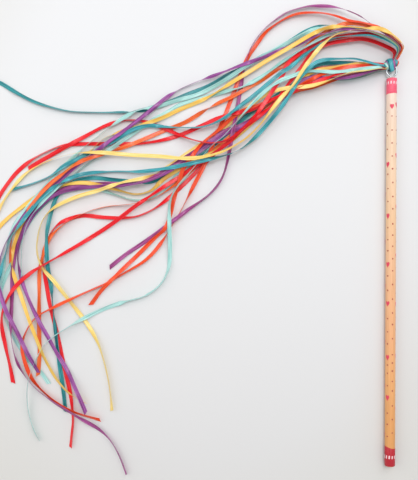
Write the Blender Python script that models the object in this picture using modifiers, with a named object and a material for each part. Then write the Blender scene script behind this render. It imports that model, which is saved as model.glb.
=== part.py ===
# Ribbon wand: a round wooden dowel with a paper band round each end, a small
# screw eye in one end, and twelve narrow satin ribbons tied at their middles
# to the eye's ring, so that twenty-four tails lie loose on the surface.
#
# Frame: metres, +Z up. The stick lies along Y with the eye towards +Y and the
# surface it rests on is Z = 0. The ribbons lie towards -X.

import math

import bmesh
import bpy
import numpy as np
from mathutils import Matrix, Vector

MM = 0.001

# ---- driving dimensions, in millimetres --------------------------------------
DOWEL_R = 3.95            # 5/16 inch stick
DOWEL_LEN = 304.8         # 12 inch stick
END_EASE = 0.5            # eased edge at both ends of the stick
BUTT_Y = -157.75          # butt face of the stick
EYE_END_Y = BUTT_Y + DOWEL_LEN
BAND_IN_R = 4.05          # paper band, inner and outer radius
BAND_OUT_R = 4.20
AXIS_Z = BAND_OUT_R       # the bands are what the stick lies on
EYE_BAND_LEN = 12.4
BUTT_BAND_LEN = 15.4

WIRE_R = 0.70             # screw eye wire
RING_R = 4.15             # ring radius to the middle of the wire
RING_Y = 157.75 - RING_R - WIRE_R
THREAD_CREST_R = 0.95
THREAD_ROOT_R = 0.62
THREAD_PITCH = 1.15
THREAD_TURNS = 9
PILOT_R = 1.30            # pilot hole the thread sits in
PILOT_DEPTH = 15.0

KNOT_C = (-0.6, 158.2, 4.35)     # middle of the knot
KNOT_R = (6.2, 5.2, 3.9)         # its half sizes
TUNNEL_R = 1.05                  # the way of the ring's wire through the knot

RIBBON_W = 3.2            # 1/8 inch double-faced satin
RIBBON_T = 0.30
LAYER_GAP = 0.30          # clear space between two ribbons that cross
HUMP_SLOPE = 0.10         # how steeply a ribbon climbs over another
REST_Z = 0.10 + RIBBON_T / 2

STEPS = 32                # facets round the turned parts

# ---- ribbon routes ---------------------------------------------------------------
# Plan view (X, Y) in millimetres from the knot to the tail's end. The order of
# the list is the order of stacking, the lowest ribbon first.
ROUTES = {
    "ribbon_red_1_lower_tail": [(-5.5, 157.7), (-10.5, 158.6), (-15.9, 159.3), (-21.3, 159.4), (-33.8, 157.7),
        (-52.5, 155.8), (-59.9, 154.6), (-67, 151.1), (-81.2, 138.3), (-98.6, 124.8),
        (-116.7, 108.8), (-133.3, 93.7), (-148.2, 78.6), (-166.4, 60.3), (-178.2, 49.9),
        (-189.3, 42.4), (-201.1, 37.5), (-213.3, 36.3), (-228.4, 36.8), (-243.3, 38.1),
        (-254.2, 35.3), (-262.7, 31.3), (-269.4, 22.7), (-274.2, 9), (-275, 1.1), (-272.8, -11.5),
        (-269.1, -32.9), (-263.6, -54.3), (-258.4, -78.3), (-252.3, -104.1), (-250.1, -124.3),
        (-251, -134.2), (-252.1, -145.6)],
    "ribbon_mint_2_lower_tail": [(-5.4, 154.4), (-12, 152.9), (-19.3, 150.3), (-25.1, 148.8), (-34.8, 147.3),
        (-45.6, 147.2), (-55.9, 147.2), (-67, 146.3), (-79.6, 140.7), (-95.4, 128.7),
        (-111.2, 117.6), (-128.6, 103.2), (-145.9, 88.9), (-158.5, 79.3), (-166.4, 72.9),
        (-178.3, 60.2), (-192.5, 51.2), (-204.3, 50.9), (-216.4, 54.5), (-231.3, 59.2),
        (-239.2, 60.3), (-248.7, 59.5), (-258.2, 57), (-267.7, 52.2), (-275.6, 45.5),
        (-282.7, 37.1), (-289, 27.2), (-293.7, 16.1), (-299.1, 1), (-305.4, -13.3),
        (-308.5, -22.8), (-307.7, -31.5), (-304.2, -44.6), (-298.1, -57.9), (-287.9, -74.6),
        (-276.1, -86.3), (-269.6, -95.5)],
    "ribbon_orange_2_lower_tail": [(-5.5, 154.7), (-12.1, 154), (-18.2, 153.1), (-26.7, 151.3), (-36.1, 149.2), (-48, 145.2),
        (-60.6, 140.8), (-69.3, 139.2), (-78.8, 136), (-97, 124.8), (-116.7, 109.6),
        (-135.6, 93.7), (-153, 78.6), (-168, 65), (-177.1, 57.8), (-187.9, 51.5), (-201.2, 47.8),
        (-224.1, 45.3), (-236.1, 42.2), (-249.4, 36.1), (-259.1, 30), (-268.7, 20.2),
        (-274.2, 7.5), (-277.3, -6), (-277.6, -23.4), (-277.6, -48), (-277.2, -73.3),
        (-278.2, -88.8)],
    "ribbon_teal_2_lower_tail": [(-5.5, 155.5), (-10.5, 155.1), (-15.1, 155.3), (-22.9, 157.6), (-30.6, 159.6),
        (-46.5, 159.9), (-54.4, 159.5), (-61.5, 157.1), (-72.5, 147.1), (-87.5, 135.1),
        (-107.3, 123.1), (-125.4, 107.2), (-141.2, 93.7), (-156.2, 82.5), (-173.6, 72.9),
        (-183, 67.3), (-192.5, 64.5), (-204.4, 65.2), (-219.5, 66.6), (-236.3, 68), (-249.6, 65.2),
        (-257.5, 59), (-264.1, 51.9), (-267.9, 41.6), (-270.3, 29.9), (-271.2, 18.6),
        (-270.1, -5.7), (-267.6, -20.8), (-265.4, -42), (-262.8, -68.5), (-259.2, -92.3),
        (-256.2, -117.6)],
    "ribbon_yellow_1_lower_tail": [(-5.4, 154), (-12, 153.1), (-19.4, 151.7), (-25.1, 150.8), (-32.4, 150.1), (-38.5, 148.6),
        (-44.5, 146.1), (-60.2, 140.6), (-69.3, 138.8), (-86.8, 137.5), (-100, 133.1),
        (-113.9, 123.1), (-131, 108.8), (-148.3, 96.2), (-162.9, 86.4), (-175.3, 77.1),
        (-189.4, 69.1), (-210.4, 64.2), (-231.5, 57.2), (-248.3, 52.5), (-265.3, 44.5),
        (-273, 37.2), (-277.9, 25.7), (-279.1, 10.6), (-274.7, -3.2), (-266.1, -12.9),
        (-252.3, -31.2), (-238.7, -48.6), (-230.7, -63.1), (-223.5, -86.5), (-220.2, -106.3),
        (-219.4, -116.2)],
    "ribbon_orange_1_upper_tail": [(4.4, 164.1), (7, 168.9), (5.1, 173.7), (0.8, 177.6), (-4.3, 181.8), (-10.5, 185.3),
        (-18.2, 187.6), (-26.6, 189.7), (-34.3, 191), (-41.2, 194.1), (-48.9, 196.8),
        (-56.6, 198.5), (-64.4, 198.9), (-72.1, 198.6), (-79.1, 197), (-86.2, 193.5), (-93, 189),
        (-99.1, 184.2), (-103.9, 177.8), (-108.7, 171.1), (-112.2, 165.9), (-114.6, 161.1),
        (-118.5, 151.6), (-121.9, 142.1), (-126.1, 131.2), (-131.2, 117.5), (-139.6, 96.8),
        (-147.4, 77.8), (-154, 65.1), (-160.8, 51.6), (-166.7, 40.5), (-175.7, 25.4),
        (-184.1, 12.7), (-193.8, 2.7), (-206.4, -5.2), (-223.8, -15.3), (-235.8, -20.6),
        (-247.9, -26.1), (-266, -34.7), (-278.1, -41.5), (-284.6, -48.8), (-289.6, -59.7),
        (-290.7, -66.3), (-289.3, -73.9), (-283.9, -89.6), (-274.1, -101.4), (-260.8, -111.3),
        (-249, -117.1), (-235.8, -121.2), (-228.6, -123.4)],
    "ribbon_purple_1_lower_tail": [(-5.5, 155.1), (-10.5, 154.2), (-15.1, 152.9), (-25.9, 150.1), (-36.1, 148),
        (-45.6, 147.5), (-54.3, 148), (-61.5, 148.7), (-68.6, 147.1), (-82.8, 135.1),
        (-101.7, 120), (-120.7, 108.8), (-130.2, 106), (-145.3, 95.7), (-164.9, 82.5),
        (-183.1, 70.5), (-195.2, 66.1), (-211.6, 63.6), (-230.1, 63.1), (-248.4, 61.5),
        (-266.5, 55), (-280.4, 44.7), (-291, 28), (-297.2, 4.5), (-298.9, -11.7), (-299, -36.2),
        (-298.9, -59.2), (-295.8, -75.3), (-288.5, -89), (-278.6, -100.3), (-265.3, -109.7),
        (-252.2, -117.1), (-239.1, -124.9), (-229.2, -131.4), (-220.6, -139.9), (-213.3, -152.2),
        (-207.6, -166.8)],
    "ribbon_yellow_2_lower_tail": [(-5.5, 157), (-10.5, 157.3), (-21.3, 158.2), (-27, 157.9), (-36.2, 156.4), (-50.6, 154.5),
        (-59.1, 152.7), (-67, 148.7), (-82.8, 133.6), (-100.1, 120), (-119.1, 103.3),
        (-138.8, 88.9), (-158.6, 80.1), (-180.7, 66.1), (-189.3, 58.2), (-201.2, 55.1),
        (-213.4, 57.7), (-226.6, 61.2), (-242.4, 64), (-260.6, 61.4), (-271.4, 55.4),
        (-282.7, 44.4), (-291.2, 32.3), (-296.1, 18.4), (-298.7, 4.2), (-298, -3.3), (-294, -19.1),
        (-287.2, -37.3), (-279.9, -56.7), (-274.8, -71.2), (-266.2, -87.5), (-254.3, -101.3),
        (-240, -110.4)],
    "ribbon_purple_2_lower_tail": [(-5.4, 154.5), (-10.5, 153.4), (-16.7, 151.8), (-26.7, 148.7), (-36.9, 146.5),
        (-46.4, 145.8), (-55.1, 146.4), (-62.2, 146.8), (-69.4, 145.2), (-82.8, 133.2),
        (-100.9, 118.4), (-119.1, 107.2), (-129.4, 104), (-144.4, 94), (-163.3, 80.9),
        (-181.5, 68.9), (-194.1, 64.4), (-211.6, 61.6), (-228.6, 60.9), (-248.3, 59.2),
        (-266.5, 53), (-280.3, 41.1), (-288.7, 27.4), (-293.3, 11.3), (-293.9, 3.9),
        (-291.6, -11.2), (-286.1, -25.1), (-276.3, -45.1), (-269, -59), (-263.6, -69.9),
        (-255.7, -82.9), (-248.4, -97.4), (-242.4, -110.4), (-239.4, -117.7)],
    "ribbon_purple_1_upper_tail": [(3.9, 163.6), (6.4, 167.7), (5.4, 172.3), (1.5, 176.5), (-3.5, 180.7), (-9, 184.1),
        (-12.9, 186.1), (-19.7, 191.4), (-25.8, 195.6), (-34.2, 199.4), (-41.2, 201.8),
        (-48.9, 203.5), (-56.6, 204.1), (-65.1, 204.2), (-72.1, 202.7), (-82.3, 199.9),
        (-88.6, 196.1), (-94.2, 192.1), (-99.7, 187.3), (-104.4, 181.8), (-108.3, 176.2),
        (-110.7, 171.8), (-113.8, 163.5), (-116.5, 152.4), (-119.2, 136.5), (-122.7, 115.9),
        (-125.9, 98.5), (-129.4, 79.6), (-132.4, 69.9), (-136.6, 62.8), (-143.4, 55.2),
        (-158.4, 44.1), (-172.6, 33.3), (-186, 23.3), (-197.8, 15), (-209.7, 7), (-221.9, -3)],
    "ribbon_red_1_upper_tail": [(2.2, 162.7), (3.2, 166), (0.1, 169.6), (-6.7, 172.8), (-14.4, 175.7), (-24, 177.9),
        (-37.5, 176.3), (-49, 174.3), (-60.3, 169.3), (-70.8, 155.9), (-82, 141.1), (-94.6, 124.8),
        (-110.9, 111), (-127.7, 96.5), (-144.3, 84.1), (-167.4, 68.7), (-183, 58.2),
        (-201.2, 45.4), (-219.3, 32), (-237.5, 20.3), (-254, 10.2), (-269.8, 1), (-284.4, -8.2),
        (-296.4, -19.1), (-303.7, -31.9), (-306.6, -47.1), (-304, -66.3), (-299.7, -85.1),
        (-298, -94.8)],
    "ribbon_orange_1_lower_tail": [(-5.5, 156.3), (-10.5, 156), (-16.7, 156), (-28.3, 155.9), (-37.3, 155.2), (-45.6, 153.1),
        (-55.1, 149.5), (-64.6, 144.7), (-82, 134.4), (-101.7, 125.5), (-119.9, 119.4),
        (-136.3, 106), (-148.3, 96.2), (-158.6, 82.5), (-164.4, 74.1), (-167.3, 63.8),
        (-171.1, 51.5), (-174.2, 37.3), (-178.1, 27.7), (-184.8, 21.8), (-201, 5.8), (-221, -13.7),
        (-230.1, -23.5), (-236.6, -32.6)],
    "ribbon_red_2_lower_tail": [(-5.5, 155.9), (-10.5, 155.3), (-16.7, 154.4), (-28.3, 153.2), (-40.1, 150.4),
        (-55.4, 144.8), (-67.5, 140), (-79.6, 134.4), (-93.8, 129.5), (-106.1, 122.4),
        (-113.4, 119.5), (-124.2, 118.5), (-136.3, 115.1), (-148.4, 109.6), (-166.3, 102.3),
        (-180.3, 98.2), (-198.5, 95.4), (-224.4, 94.9), (-242.4, 94.9), (-260.6, 93.1),
        (-272.7, 88.3), (-284.8, 81.4), (-296.9, 71), (-307.7, 56.4), (-313.6, 45.3),
        (-317.5, 32.6), (-319.8, 18.3), (-320.5, 0.9)],
    "ribbon_orange_2_upper_tail": [(4.9, 164.7), (7.6, 168.9), (5.7, 173.1), (0.4, 178), (-5.8, 182.6), (-12.1, 185.3),
        (-18.2, 187), (-29.7, 189.3), (-38.4, 188.8), (-51.1, 183.8), (-65, 174), (-76, 163.5),
        (-88, 156.3), (-100.3, 147.1), (-112.1, 140.4), (-124.3, 133), (-136.4, 127.5),
        (-146.1, 122.2), (-162.1, 112.6), (-180.3, 105.2), (-195.4, 98.5), (-219.6, 88.7),
        (-242.5, 80.9), (-254.4, 73.6), (-266.5, 63.9), (-276.2, 54.2), (-285.9, 42.3),
        (-294.9, 28), (-298.8, 15.3), (-299.1, 1)],
    "ribbon_red_2_upper_tail": [(4.5, 164.4), (6.5, 168.5), (3.6, 173), (-3.1, 177.3), (-12.1, 180.5), (-21, 182),
        (-29.7, 181.2), (-38.5, 179.7), (-46.6, 178.7), (-56.1, 176), (-67.9, 169.8), (-79, 161.2),
        (-83.2, 156.3), (-86.2, 148.1), (-91, 140.8), (-100, 126.8), (-107.9, 115.8),
        (-118.3, 105.5), (-127.7, 98), (-135, 95.9), (-146.5, 95.7), (-160.2, 99.3),
        (-174.2, 105.2), (-186.4, 110.1), (-198.6, 113.6), (-211.8, 113.3), (-226, 109.2),
        (-245.5, 98.5), (-260.8, 89.9), (-278.7, 80.3), (-286.8, 75.1)],
    "ribbon_teal_2_upper_tail": [(3.4, 163.3), (5.6, 167.1), (4.2, 170.1), (0.1, 174.1), (-4.2, 177.2), (-14.4, 181.8),
        (-25.9, 184.4), (-37.4, 185.9), (-46.6, 187.3), (-57.4, 187.6), (-68.3, 183.7),
        (-79.1, 177), (-88.1, 172), (-103.5, 163.4), (-118.5, 154.3), (-130.4, 148.8),
        (-142.5, 142), (-160.6, 134.8), (-174.3, 128.9), (-192, 122.7), (-203.9, 120.3),
        (-213.7, 119.9), (-238, 119.8), (-254.6, 120.8), (-272.8, 125), (-285.1, 129.4),
        (-297.2, 135.7), (-308.2, 142.3), (-318.9, 147), (-329.2, 147.8), (-337.9, 144.2),
        (-343.4, 136.2), (-345.7, 125.9), (-345.6, 113.2)],
    "ribbon_mint_2_upper_tail": [(4, 163.8), (6.2, 168.2), (4.4, 171.9), (-0.7, 176), (-7.4, 179.7), (-15.2, 181.7),
        (-24.4, 182.9), (-33.6, 183.1), (-40.5, 182.5), (-48.9, 180.8), (-64.3, 173.4),
        (-82.1, 162.9), (-94.1, 154.5), (-106.2, 146.1), (-119.2, 139.3), (-127.4, 137.6),
        (-148.5, 132), (-166.7, 126.5), (-177.4, 119.8), (-187.2, 114.3), (-195.9, 108.4),
        (-207.8, 100.5), (-220.4, 91.7), (-232.2, 83.7), (-244.1, 75.7), (-255.1, 66.2),
        (-265.4, 57.4), (-274, 48.7), (-281.9, 39.1), (-287, 28.8), (-289.7, 16.9), (-290.8, 4.2),
        (-290.4, -10)],
    "ribbon_yellow_2_upper_tail": [(5.5, 165.2), (7.9, 169.7), (4.8, 174.5), (-3.1, 180.9), (-12.1, 184.2), (-20.9, 184.3),
        (-29.7, 185.2), (-44.3, 185.4), (-51.4, 184.4), (-62, 180.5), (-79.8, 170.6),
        (-97.2, 161.1), (-115.3, 150), (-132.8, 139.3), (-148.5, 130.1), (-166.7, 122.5),
        (-180.3, 115.5), (-195.5, 110), (-207, 106.3), (-226, 99.6), (-236.2, 90), (-252, 76.5),
        (-273.3, 58.2), (-290.7, 45.4), (-302.7, 35.8), (-310, 28.3), (-315.9, 19.1),
        (-319.8, 7.2), (-321.3, -7), (-320.8, -22.9)],
    "ribbon_mint_1_upper_tail": [(2.9, 163), (4.9, 166.7), (3.1, 170.4), (-2, 174.4), (-8.2, 177.9), (-16.8, 180.9),
        (-26, 183.2), (-35.1, 185), (-45.1, 185.7), (-53.6, 184.9), (-62.1, 183.9), (-69.8, 180.6),
        (-83.8, 173.5), (-99.6, 165.2), (-115.4, 155.2), (-133.5, 143.8), (-151.7, 134.8),
        (-166.7, 130.4), (-186.5, 123.9), (-199.1, 121.3), (-210.7, 115.3), (-222.8, 107.5),
        (-234.7, 98), (-245.4, 88.9), (-255.7, 79.6), (-267.8, 66.3), (-279.8, 52.9),
        (-289.4, 41.4), (-298.5, 27.9), (-303.9, 8.9), (-307.4, -10.9), (-310.1, -26),
        (-312.4, -41), (-315.5, -56.1)],
    "ribbon_teal_1_upper_tail": [(2.5, 162.8), (3.8, 166.4), (1.2, 170.4), (-4.5, 173.9), (-12.1, 176.8), (-21, 178.7),
        (-33.7, 178.6), (-45.1, 177.7), (-56.2, 173.5), (-68.2, 165.5), (-79.8, 154.9),
        (-86.2, 151.1), (-94.1, 144.6), (-106.1, 134.7), (-119.4, 124.3), (-134.2, 113.1),
        (-148.4, 107.9), (-165.2, 107.8), (-183.2, 108.8), (-190.6, 109.1), (-201.5, 106.8),
        (-219.6, 96.4), (-236.4, 88), (-248.5, 82), (-260.7, 75.4), (-266.5, 70.6), (-281.7, 63.8),
        (-298.3, 58.6)],
    "ribbon_purple_2_upper_tail": [(3.1, 163.4), (5.1, 167.4), (3.3, 171.3), (-1.7, 175.5), (-8.2, 179), (-16.8, 181.4),
        (-26, 182.8), (-35.1, 183.1), (-43.6, 182.7), (-52, 180.4), (-62, 178.5), (-75.2, 172.3),
        (-88.1, 168.4), (-100.3, 162.8), (-118.5, 156.1), (-136.5, 149.6), (-154.9, 143.5),
        (-168.3, 137.7), (-177.4, 131.3), (-189.6, 120.9), (-205.7, 108.7), (-219.6, 98.3),
        (-233.3, 87.1), (-245.4, 79.1), (-260.7, 66.4), (-274.9, 53.4), (-289.4, 37.7),
        (-299.1, 24.8), (-305.7, 12.5), (-309.4, 1), (-310.7, -10.9), (-307.3, -22.8),
        (-302.4, -37.3), (-296.3, -49.4), (-287.2, -68.2), (-280.7, -81.1), (-277.6, -86.3)],
    "ribbon_mint_1_lower_tail": [(-5.5, 154.8), (-11.3, 154.2), (-19.4, 153.2), (-28.2, 152.2), (-46.4, 151),
        (-64.6, 151.8), (-68.8, 151.6), (-78.9, 147.5), (-88, 143.7), (-99.4, 135.9),
        (-111.2, 123.9), (-124.2, 109.1), (-132.5, 100), (-142.3, 92.1), (-155.4, 76.2),
        (-169.5, 59.5), (-173.9, 49.9), (-174.5, 33.3), (-174, 14.3), (-174.9, -2),
        (-179.7, -13.5), (-184.6, -19), (-195.4, -26), (-205.8, -28.9), (-220.9, -33.8),
        (-239, -41.7), (-256.9, -51.7), (-270.8, -62.1), (-279.4, -76.5), (-283.9, -88.4),
        (-285.8, -101.5), (-285.1, -117.7), (-280.4, -133.6), (-276.7, -140.2)],
    "ribbon_teal_1_lower_tail": [(-5.5, 156.6), (-10.5, 156.5), (-14.6, 157.1), (-19.4, 158.7), (-30, 161.7),
        (-37.3, 161.9), (-49.6, 161.3), (-59.1, 158.8), (-65.8, 153.9), (-73.6, 144.7),
        (-82, 130.6), (-89, 120.9), (-98.7, 109.2), (-108.3, 98.9), (-118.2, 91), (-127.7, 86.6),
        (-140.3, 83), (-157.4, 78.9), (-174.1, 75.6), (-195.3, 73), (-219.5, 73.2), (-237.7, 71.6),
        (-250.2, 68.3), (-261.7, 62.2), (-271.4, 54.8), (-282.7, 43.1), (-292.2, 29.6),
        (-298.5, 20), (-303.8, 6.3), (-307.1, -5.8), (-310.1, -18.1), (-312.4, -33.9),
        (-313.1, -52.9)],
    "ribbon_yellow_1_upper_tail": [(2.8, 163.1), (4.3, 167), (1.9, 171.4), (-3.3, 175.2), (-9.7, 178.6), (-16.8, 180.9),
        (-24.5, 182.6), (-33.2, 182.6), (-38.5, 181.4), (-44.3, 179.8), (-50.2, 176.4),
        (-55, 172.3), (-59.6, 167.2), (-68.9, 154.8), (-78.4, 139.9), (-86.1, 131.7),
        (-94.6, 121.4), (-102.9, 110.5), (-113.8, 99.5), (-124.1, 92.8), (-132.5, 88.2),
        (-146.5, 84.1), (-160.4, 82.7), (-183.1, 84.6), (-207.7, 86), (-233.3, 87.4),
        (-248.5, 86.7), (-263.1, 83.3), (-275.8, 78.7), (-287.8, 71.6), (-298, 61.2),
        (-307.7, 46.7), (-313.6, 34.2), (-317.9, 19.9), (-320.6, 4.1), (-322, -13.4)],
}

COLOURS = {
    "red": (0.72, 0.03, 0.03),
    "orange": (0.85, 0.13, 0.03),
    "yellow": (0.90, 0.66, 0.24),
    "mint": (0.42, 0.75, 0.68),
    "teal": (0.02, 0.27, 0.28),
    "purple": (0.16, 0.04, 0.28),
}


# ---- helpers -------------------------------------------------------------------------
def clear_scene():
    for ob in list(bpy.data.objects):
        bpy.data.objects.remove(ob, do_unlink=True)


def material(name, colour, roughness, metallic=0.0):
    m = bpy.data.materials.new(name)
    m.use_nodes = True
    b = m.node_tree.nodes["Principled BSDF"]
    b.inputs["Base Color"].default_value = (*colour, 1.0)
    b.inputs["Roughness"].default_value = roughness
    b.inputs["Metallic"].default_value = metallic
    return m


def add_object(name, data, mat, collection):
    ob = bpy.data.objects.new(name, data)
    collection.objects.link(ob)
    data.materials.clear()
    data.materials.append(mat)
    return ob


def smooth(ob, angle=35.0):
    ob.data.shade_smooth()
    ob.data.set_sharp_from_angle(angle=math.radians(angle))


def turned(name, profile, y0, mat, collection, steps=STEPS, closed=False):
    """A solid of revolution about the stick's axis. profile is (radius, height)
    in millimetres, its outer side running from the top down; y0 is where its
    height 0 lies on the stick."""
    me = bpy.data.meshes.new(name)
    verts = [(r * MM, 0.0, h * MM) for r, h in profile]
    n = len(verts)
    edges = [(i, i + 1) for i in range(n - 1)]
    if closed:
        edges.append((n - 1, 0))
    me.from_pydata(verts, edges, [])
    ob = add_object(name, me, mat, collection)
    ob.location = (0.0, y0 * MM, AXIS_Z * MM)
    ob.rotation_euler = (math.radians(-90), 0.0, 0.0)
    sc = ob.modifiers.new("turn", "SCREW")
    sc.axis = "Z"
    sc.steps = steps
    sc.render_steps = steps
    sc.use_merge_vertices = True
    sc.merge_threshold = 0.00001
    sc.use_smooth_shade = True
    return ob


def baked(ob):
    """Replace an object by the mesh it evaluates to, in place."""
    bpy.context.view_layer.update()
    dg = bpy.context.evaluated_depsgraph_get()
    me = bpy.data.meshes.new_from_object(ob.evaluated_get(dg))
    bm = bmesh.new()
    bm.from_mesh(me)
    bmesh.ops.remove_doubles(bm, verts=bm.verts, dist=0.000002)
    bmesh.ops.recalc_face_normals(bm, faces=bm.faces)
    bm.to_mesh(me)
    bm.free()
    name, mw, cols = ob.name, ob.matrix_world.copy(), list(ob.users_collection)
    bpy.data.objects.remove(ob, do_unlink=True)
    new = bpy.data.objects.new(name, me)
    cols[0].objects.link(new)
    new.matrix_world = mw
    return new


def as_cutter(ob, cutters):
    for c in list(ob.users_collection):
        c.objects.unlink(ob)
    cutters.objects.link(ob)
    ob.hide_render = True
    ob.display_type = "WIRE"


# ---- the stick -----------------------------------------------------------------------
def make_dowel(mat, col):
    top = DOWEL_LEN
    profile = [
        (0.0, top - PILOT_DEPTH - 0.8),
        (PILOT_R, top - PILOT_DEPTH),
        (PILOT_R, top - 0.2),
        (PILOT_R + 0.2, top),
        (DOWEL_R - END_EASE, top),
        (DOWEL_R - END_EASE * 0.3, top - END_EASE * 0.3),
        (DOWEL_R, top - END_EASE),
        (DOWEL_R, END_EASE),
        (DOWEL_R - END_EASE * 0.3, END_EASE * 0.3),
        (DOWEL_R - END_EASE, 0.0),
        (0.0, 0.0),
    ]
    return turned("dowel_stick", profile, BUTT_Y, mat, col)


def make_band(name, y_low, length, mat, col):
    profile = [
        (BAND_IN_R, length),
        (BAND_OUT_R, length),
        (BAND_OUT_R, 0.0),
        (BAND_IN_R, 0.0),
    ]
    return turned(name, profile, y_low, mat, col, closed=True)


# ---- the screw eye -------------------------------------------------------------------
def make_screw_eye(mat, col, cutters):
    pts = []
    for i in range(28):
        a = math.radians(-62 + (247 + 62) * i / 27)
        pts.append((RING_R * math.cos(a), RING_Y + RING_R * math.sin(a), 1.0))
    pts += [
        (-0.85, RING_Y - 4.42, 1.0),
        (-0.28, RING_Y - 4.85, 1.0),
        (-0.04, RING_Y - 5.45, 1.0),
        (0.0, RING_Y - 6.2, 1.0),
        (0.0, RING_Y - 7.6, 1.0),
    ]
    cu = bpy.data.curves.new("screw_eye", "CURVE")
    cu.dimensions = "3D"
    cu.twist_mode = "Z_UP"
    cu.bevel_depth = WIRE_R * MM
    cu.bevel_resolution = 2
    cu.render_resolution_u = 0
    cu.use_fill_caps = True
    sp = cu.splines.new("POLY")
    sp.points.add(len(pts) - 1)
    for p, (x, y, r) in zip(sp.points, pts):
        p.co = (x * MM, y * MM, AXIS_Z * MM, 1.0)
        p.radius = r
    eye = baked(add_object("screw_eye", cu, mat, col))

    # the threaded shank, turned: nine ridges and a gimlet point
    h0 = 1.2
    profile = [(0.0, h0), (THREAD_ROOT_R, h0), (THREAD_ROOT_R, -1.0)]
    y = -1.0
    for i in range(THREAD_TURNS):
        k = 1.0 - 0.5 * max(0.0, (i - 5) / (THREAD_TURNS - 5))
        profile.append((THREAD_CREST_R * k, y - THREAD_PITCH * 0.45))
        profile.append((THREAD_ROOT_R * k, y - THREAD_PITCH))
        y -= THREAD_PITCH
    profile.append((0.0, y - 1.0))
    shank = baked(turned("screw_eye_thread", profile, RING_Y - 7.6, mat, col, steps=14))
    as_cutter(shank, cutters)
    un = eye.modifiers.new("join thread", "BOOLEAN")
    un.operation = "UNION"
    un.object = shank
    eye.data.materials.clear()
    eye.data.materials.append(mat)
    smooth(eye)
    return eye


# ---- the knot ------------------------------------------------------------------------
def make_knot(mat, col, cutters):
    bm = bmesh.new()
    bmesh.ops.create_uvsphere(bm, u_segments=20, v_segments=12, radius=1.0)
    bmesh.ops.scale(bm, vec=Vector([r * MM for r in KNOT_R]), verts=bm.verts)
    me = bpy.data.meshes.new("ribbon_knot")
    bm.to_mesh(me)
    bm.free()
    knot = add_object("ribbon_knot", me, mat, col)
    knot.location = Vector(KNOT_C) * MM
    smooth(knot, 60)

    bpy.ops.mesh.primitive_torus_add(
        major_segments=36, minor_segments=10,
        major_radius=RING_R * MM, minor_radius=TUNNEL_R * MM,
        location=(0.0, RING_Y * MM, AXIS_Z * MM))
    ring = bpy.context.object
    ring.name = "ring_way"
    as_cutter(ring, cutters)
    cut = knot.modifiers.new("way of the ring", "BOOLEAN")
    cut.operation = "DIFFERENCE"
    cut.object = ring
    return knot


# ---- the ribbons ---------------------------------------------------------------------
def smooth_route(points, step=0.5):
    """A centripetal Catmull-Rom line through the route's points, resampled to
    even steps. Returns an (n, 2) array in millimetres."""
    p = np.array(points, float)
    p = np.vstack([2 * p[0] - p[1], p, 2 * p[-1] - p[-2]])
    out = []
    for i in range(1, len(p) - 2):
        a, b, c, d = p[i - 1], p[i], p[i + 1], p[i + 2]
        t0 = 0.0
        t1 = t0 + max(np.linalg.norm(b - a), 1e-6) ** 0.5
        t2 = t1 + max(np.linalg.norm(c - b), 1e-6) ** 0.5
        t3 = t2 + max(np.linalg.norm(d - c), 1e-6) ** 0.5
        for t in np.linspace(t1, t2, 24, endpoint=False):
            a1 = (t1 - t) / (t1 - t0) * a + (t - t0) / (t1 - t0) * b
            a2 = (t2 - t) / (t2 - t1) * b + (t - t1) / (t2 - t1) * c
            a3 = (t3 - t) / (t3 - t2) * c + (t - t2) / (t3 - t2) * d
            b1 = (t2 - t) / (t2 - t0) * a1 + (t - t0) / (t2 - t0) * a2
            b2 = (t3 - t) / (t3 - t1) * a2 + (t - t1) / (t3 - t1) * a3
            out.append((t2 - t) / (t2 - t1) * b1 + (t - t1) / (t2 - t1) * b2)
    out.append(p[-2])
    q = np.array(out)
    s = np.concatenate([[0], np.cumsum(np.linalg.norm(np.diff(q, axis=0), axis=1))])
    n = max(2, int(round(s[-1] / step)) + 1)
    at = np.linspace(0, s[-1], n)
    q = np.column_stack([np.interp(at, s, q[:, 0]), np.interp(at, s, q[:, 1])])
    k = np.ones(9) / 9.0                       # take the kinks out
    for _ in range(3):
        pad = np.vstack([2 * q[0] - q[4:0:-1], q, 2 * q[-1] - q[-2:-6:-1]])
        q = np.column_stack([np.convolve(pad[:, j], k, "valid") for j in (0, 1)])
    return q


def sideways(q):
    t = np.gradient(q, axis=0)
    t /= np.linalg.norm(t, axis=1)[:, None]
    return np.column_stack([-t[:, 1], t[:, 0]])


def clear_of_knot(q):
    """Drop the first stretch, until the whole width is clear of the knot."""
    side = sideways(q)
    for i in range(len(q)):
        ok = True
        for k in (-1.0, 0.0, 1.0):
            v = q[i] + side[i] * k * RIBBON_W / 2 - np.array(KNOT_C[:2])
            if (v[0] / (KNOT_R[0] + 0.5)) ** 2 + (v[1] / (KNOT_R[1] + 0.5)) ** 2 < 1.0:
                ok = False
        if ok:
            return q[i:]
    return q


def stations(q, step=0.5):
    """Points for the plain strip: closer together where the route bends."""
    t = np.gradient(q, axis=0)
    ang = np.unwrap(np.arctan2(t[:, 1], t[:, 0]))
    curv = np.abs(np.gradient(ang)) / step
    curv = np.convolve(np.pad(curv, 8, "edge"), np.ones(17) / 17, "valid")
    keep, run = [0], 0.0
    for i in range(1, len(q)):
        run += step
        want = min(10.5, max(4.6, math.sqrt(2.2 / max(curv[i], 1e-4))))
        if run >= want:
            keep.append(i)
            run = 0.0
    if len(q) - 1 - keep[-1] < 6:
        keep[-1] = len(q) - 1
    else:
        keep.append(len(q) - 1)
    return keep


def lift(name, s):
    """How high the ribbon is carried by the eye at a distance s from the knot."""
    if "_upper_" in name:
        rise = min(1.0, s / 22.0)
        fall = min(1.0, max(0.0, (s - 30.0) / 85.0))
        fall = fall * fall * (3 - 2 * fall)
        return (2.0 + 3.5 * rise) * (1.0 - fall)
    fall = min(1.0, s / 32.0)
    return 2.0 * (1.0 - fall * fall * (3 - 2 * fall))


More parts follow.
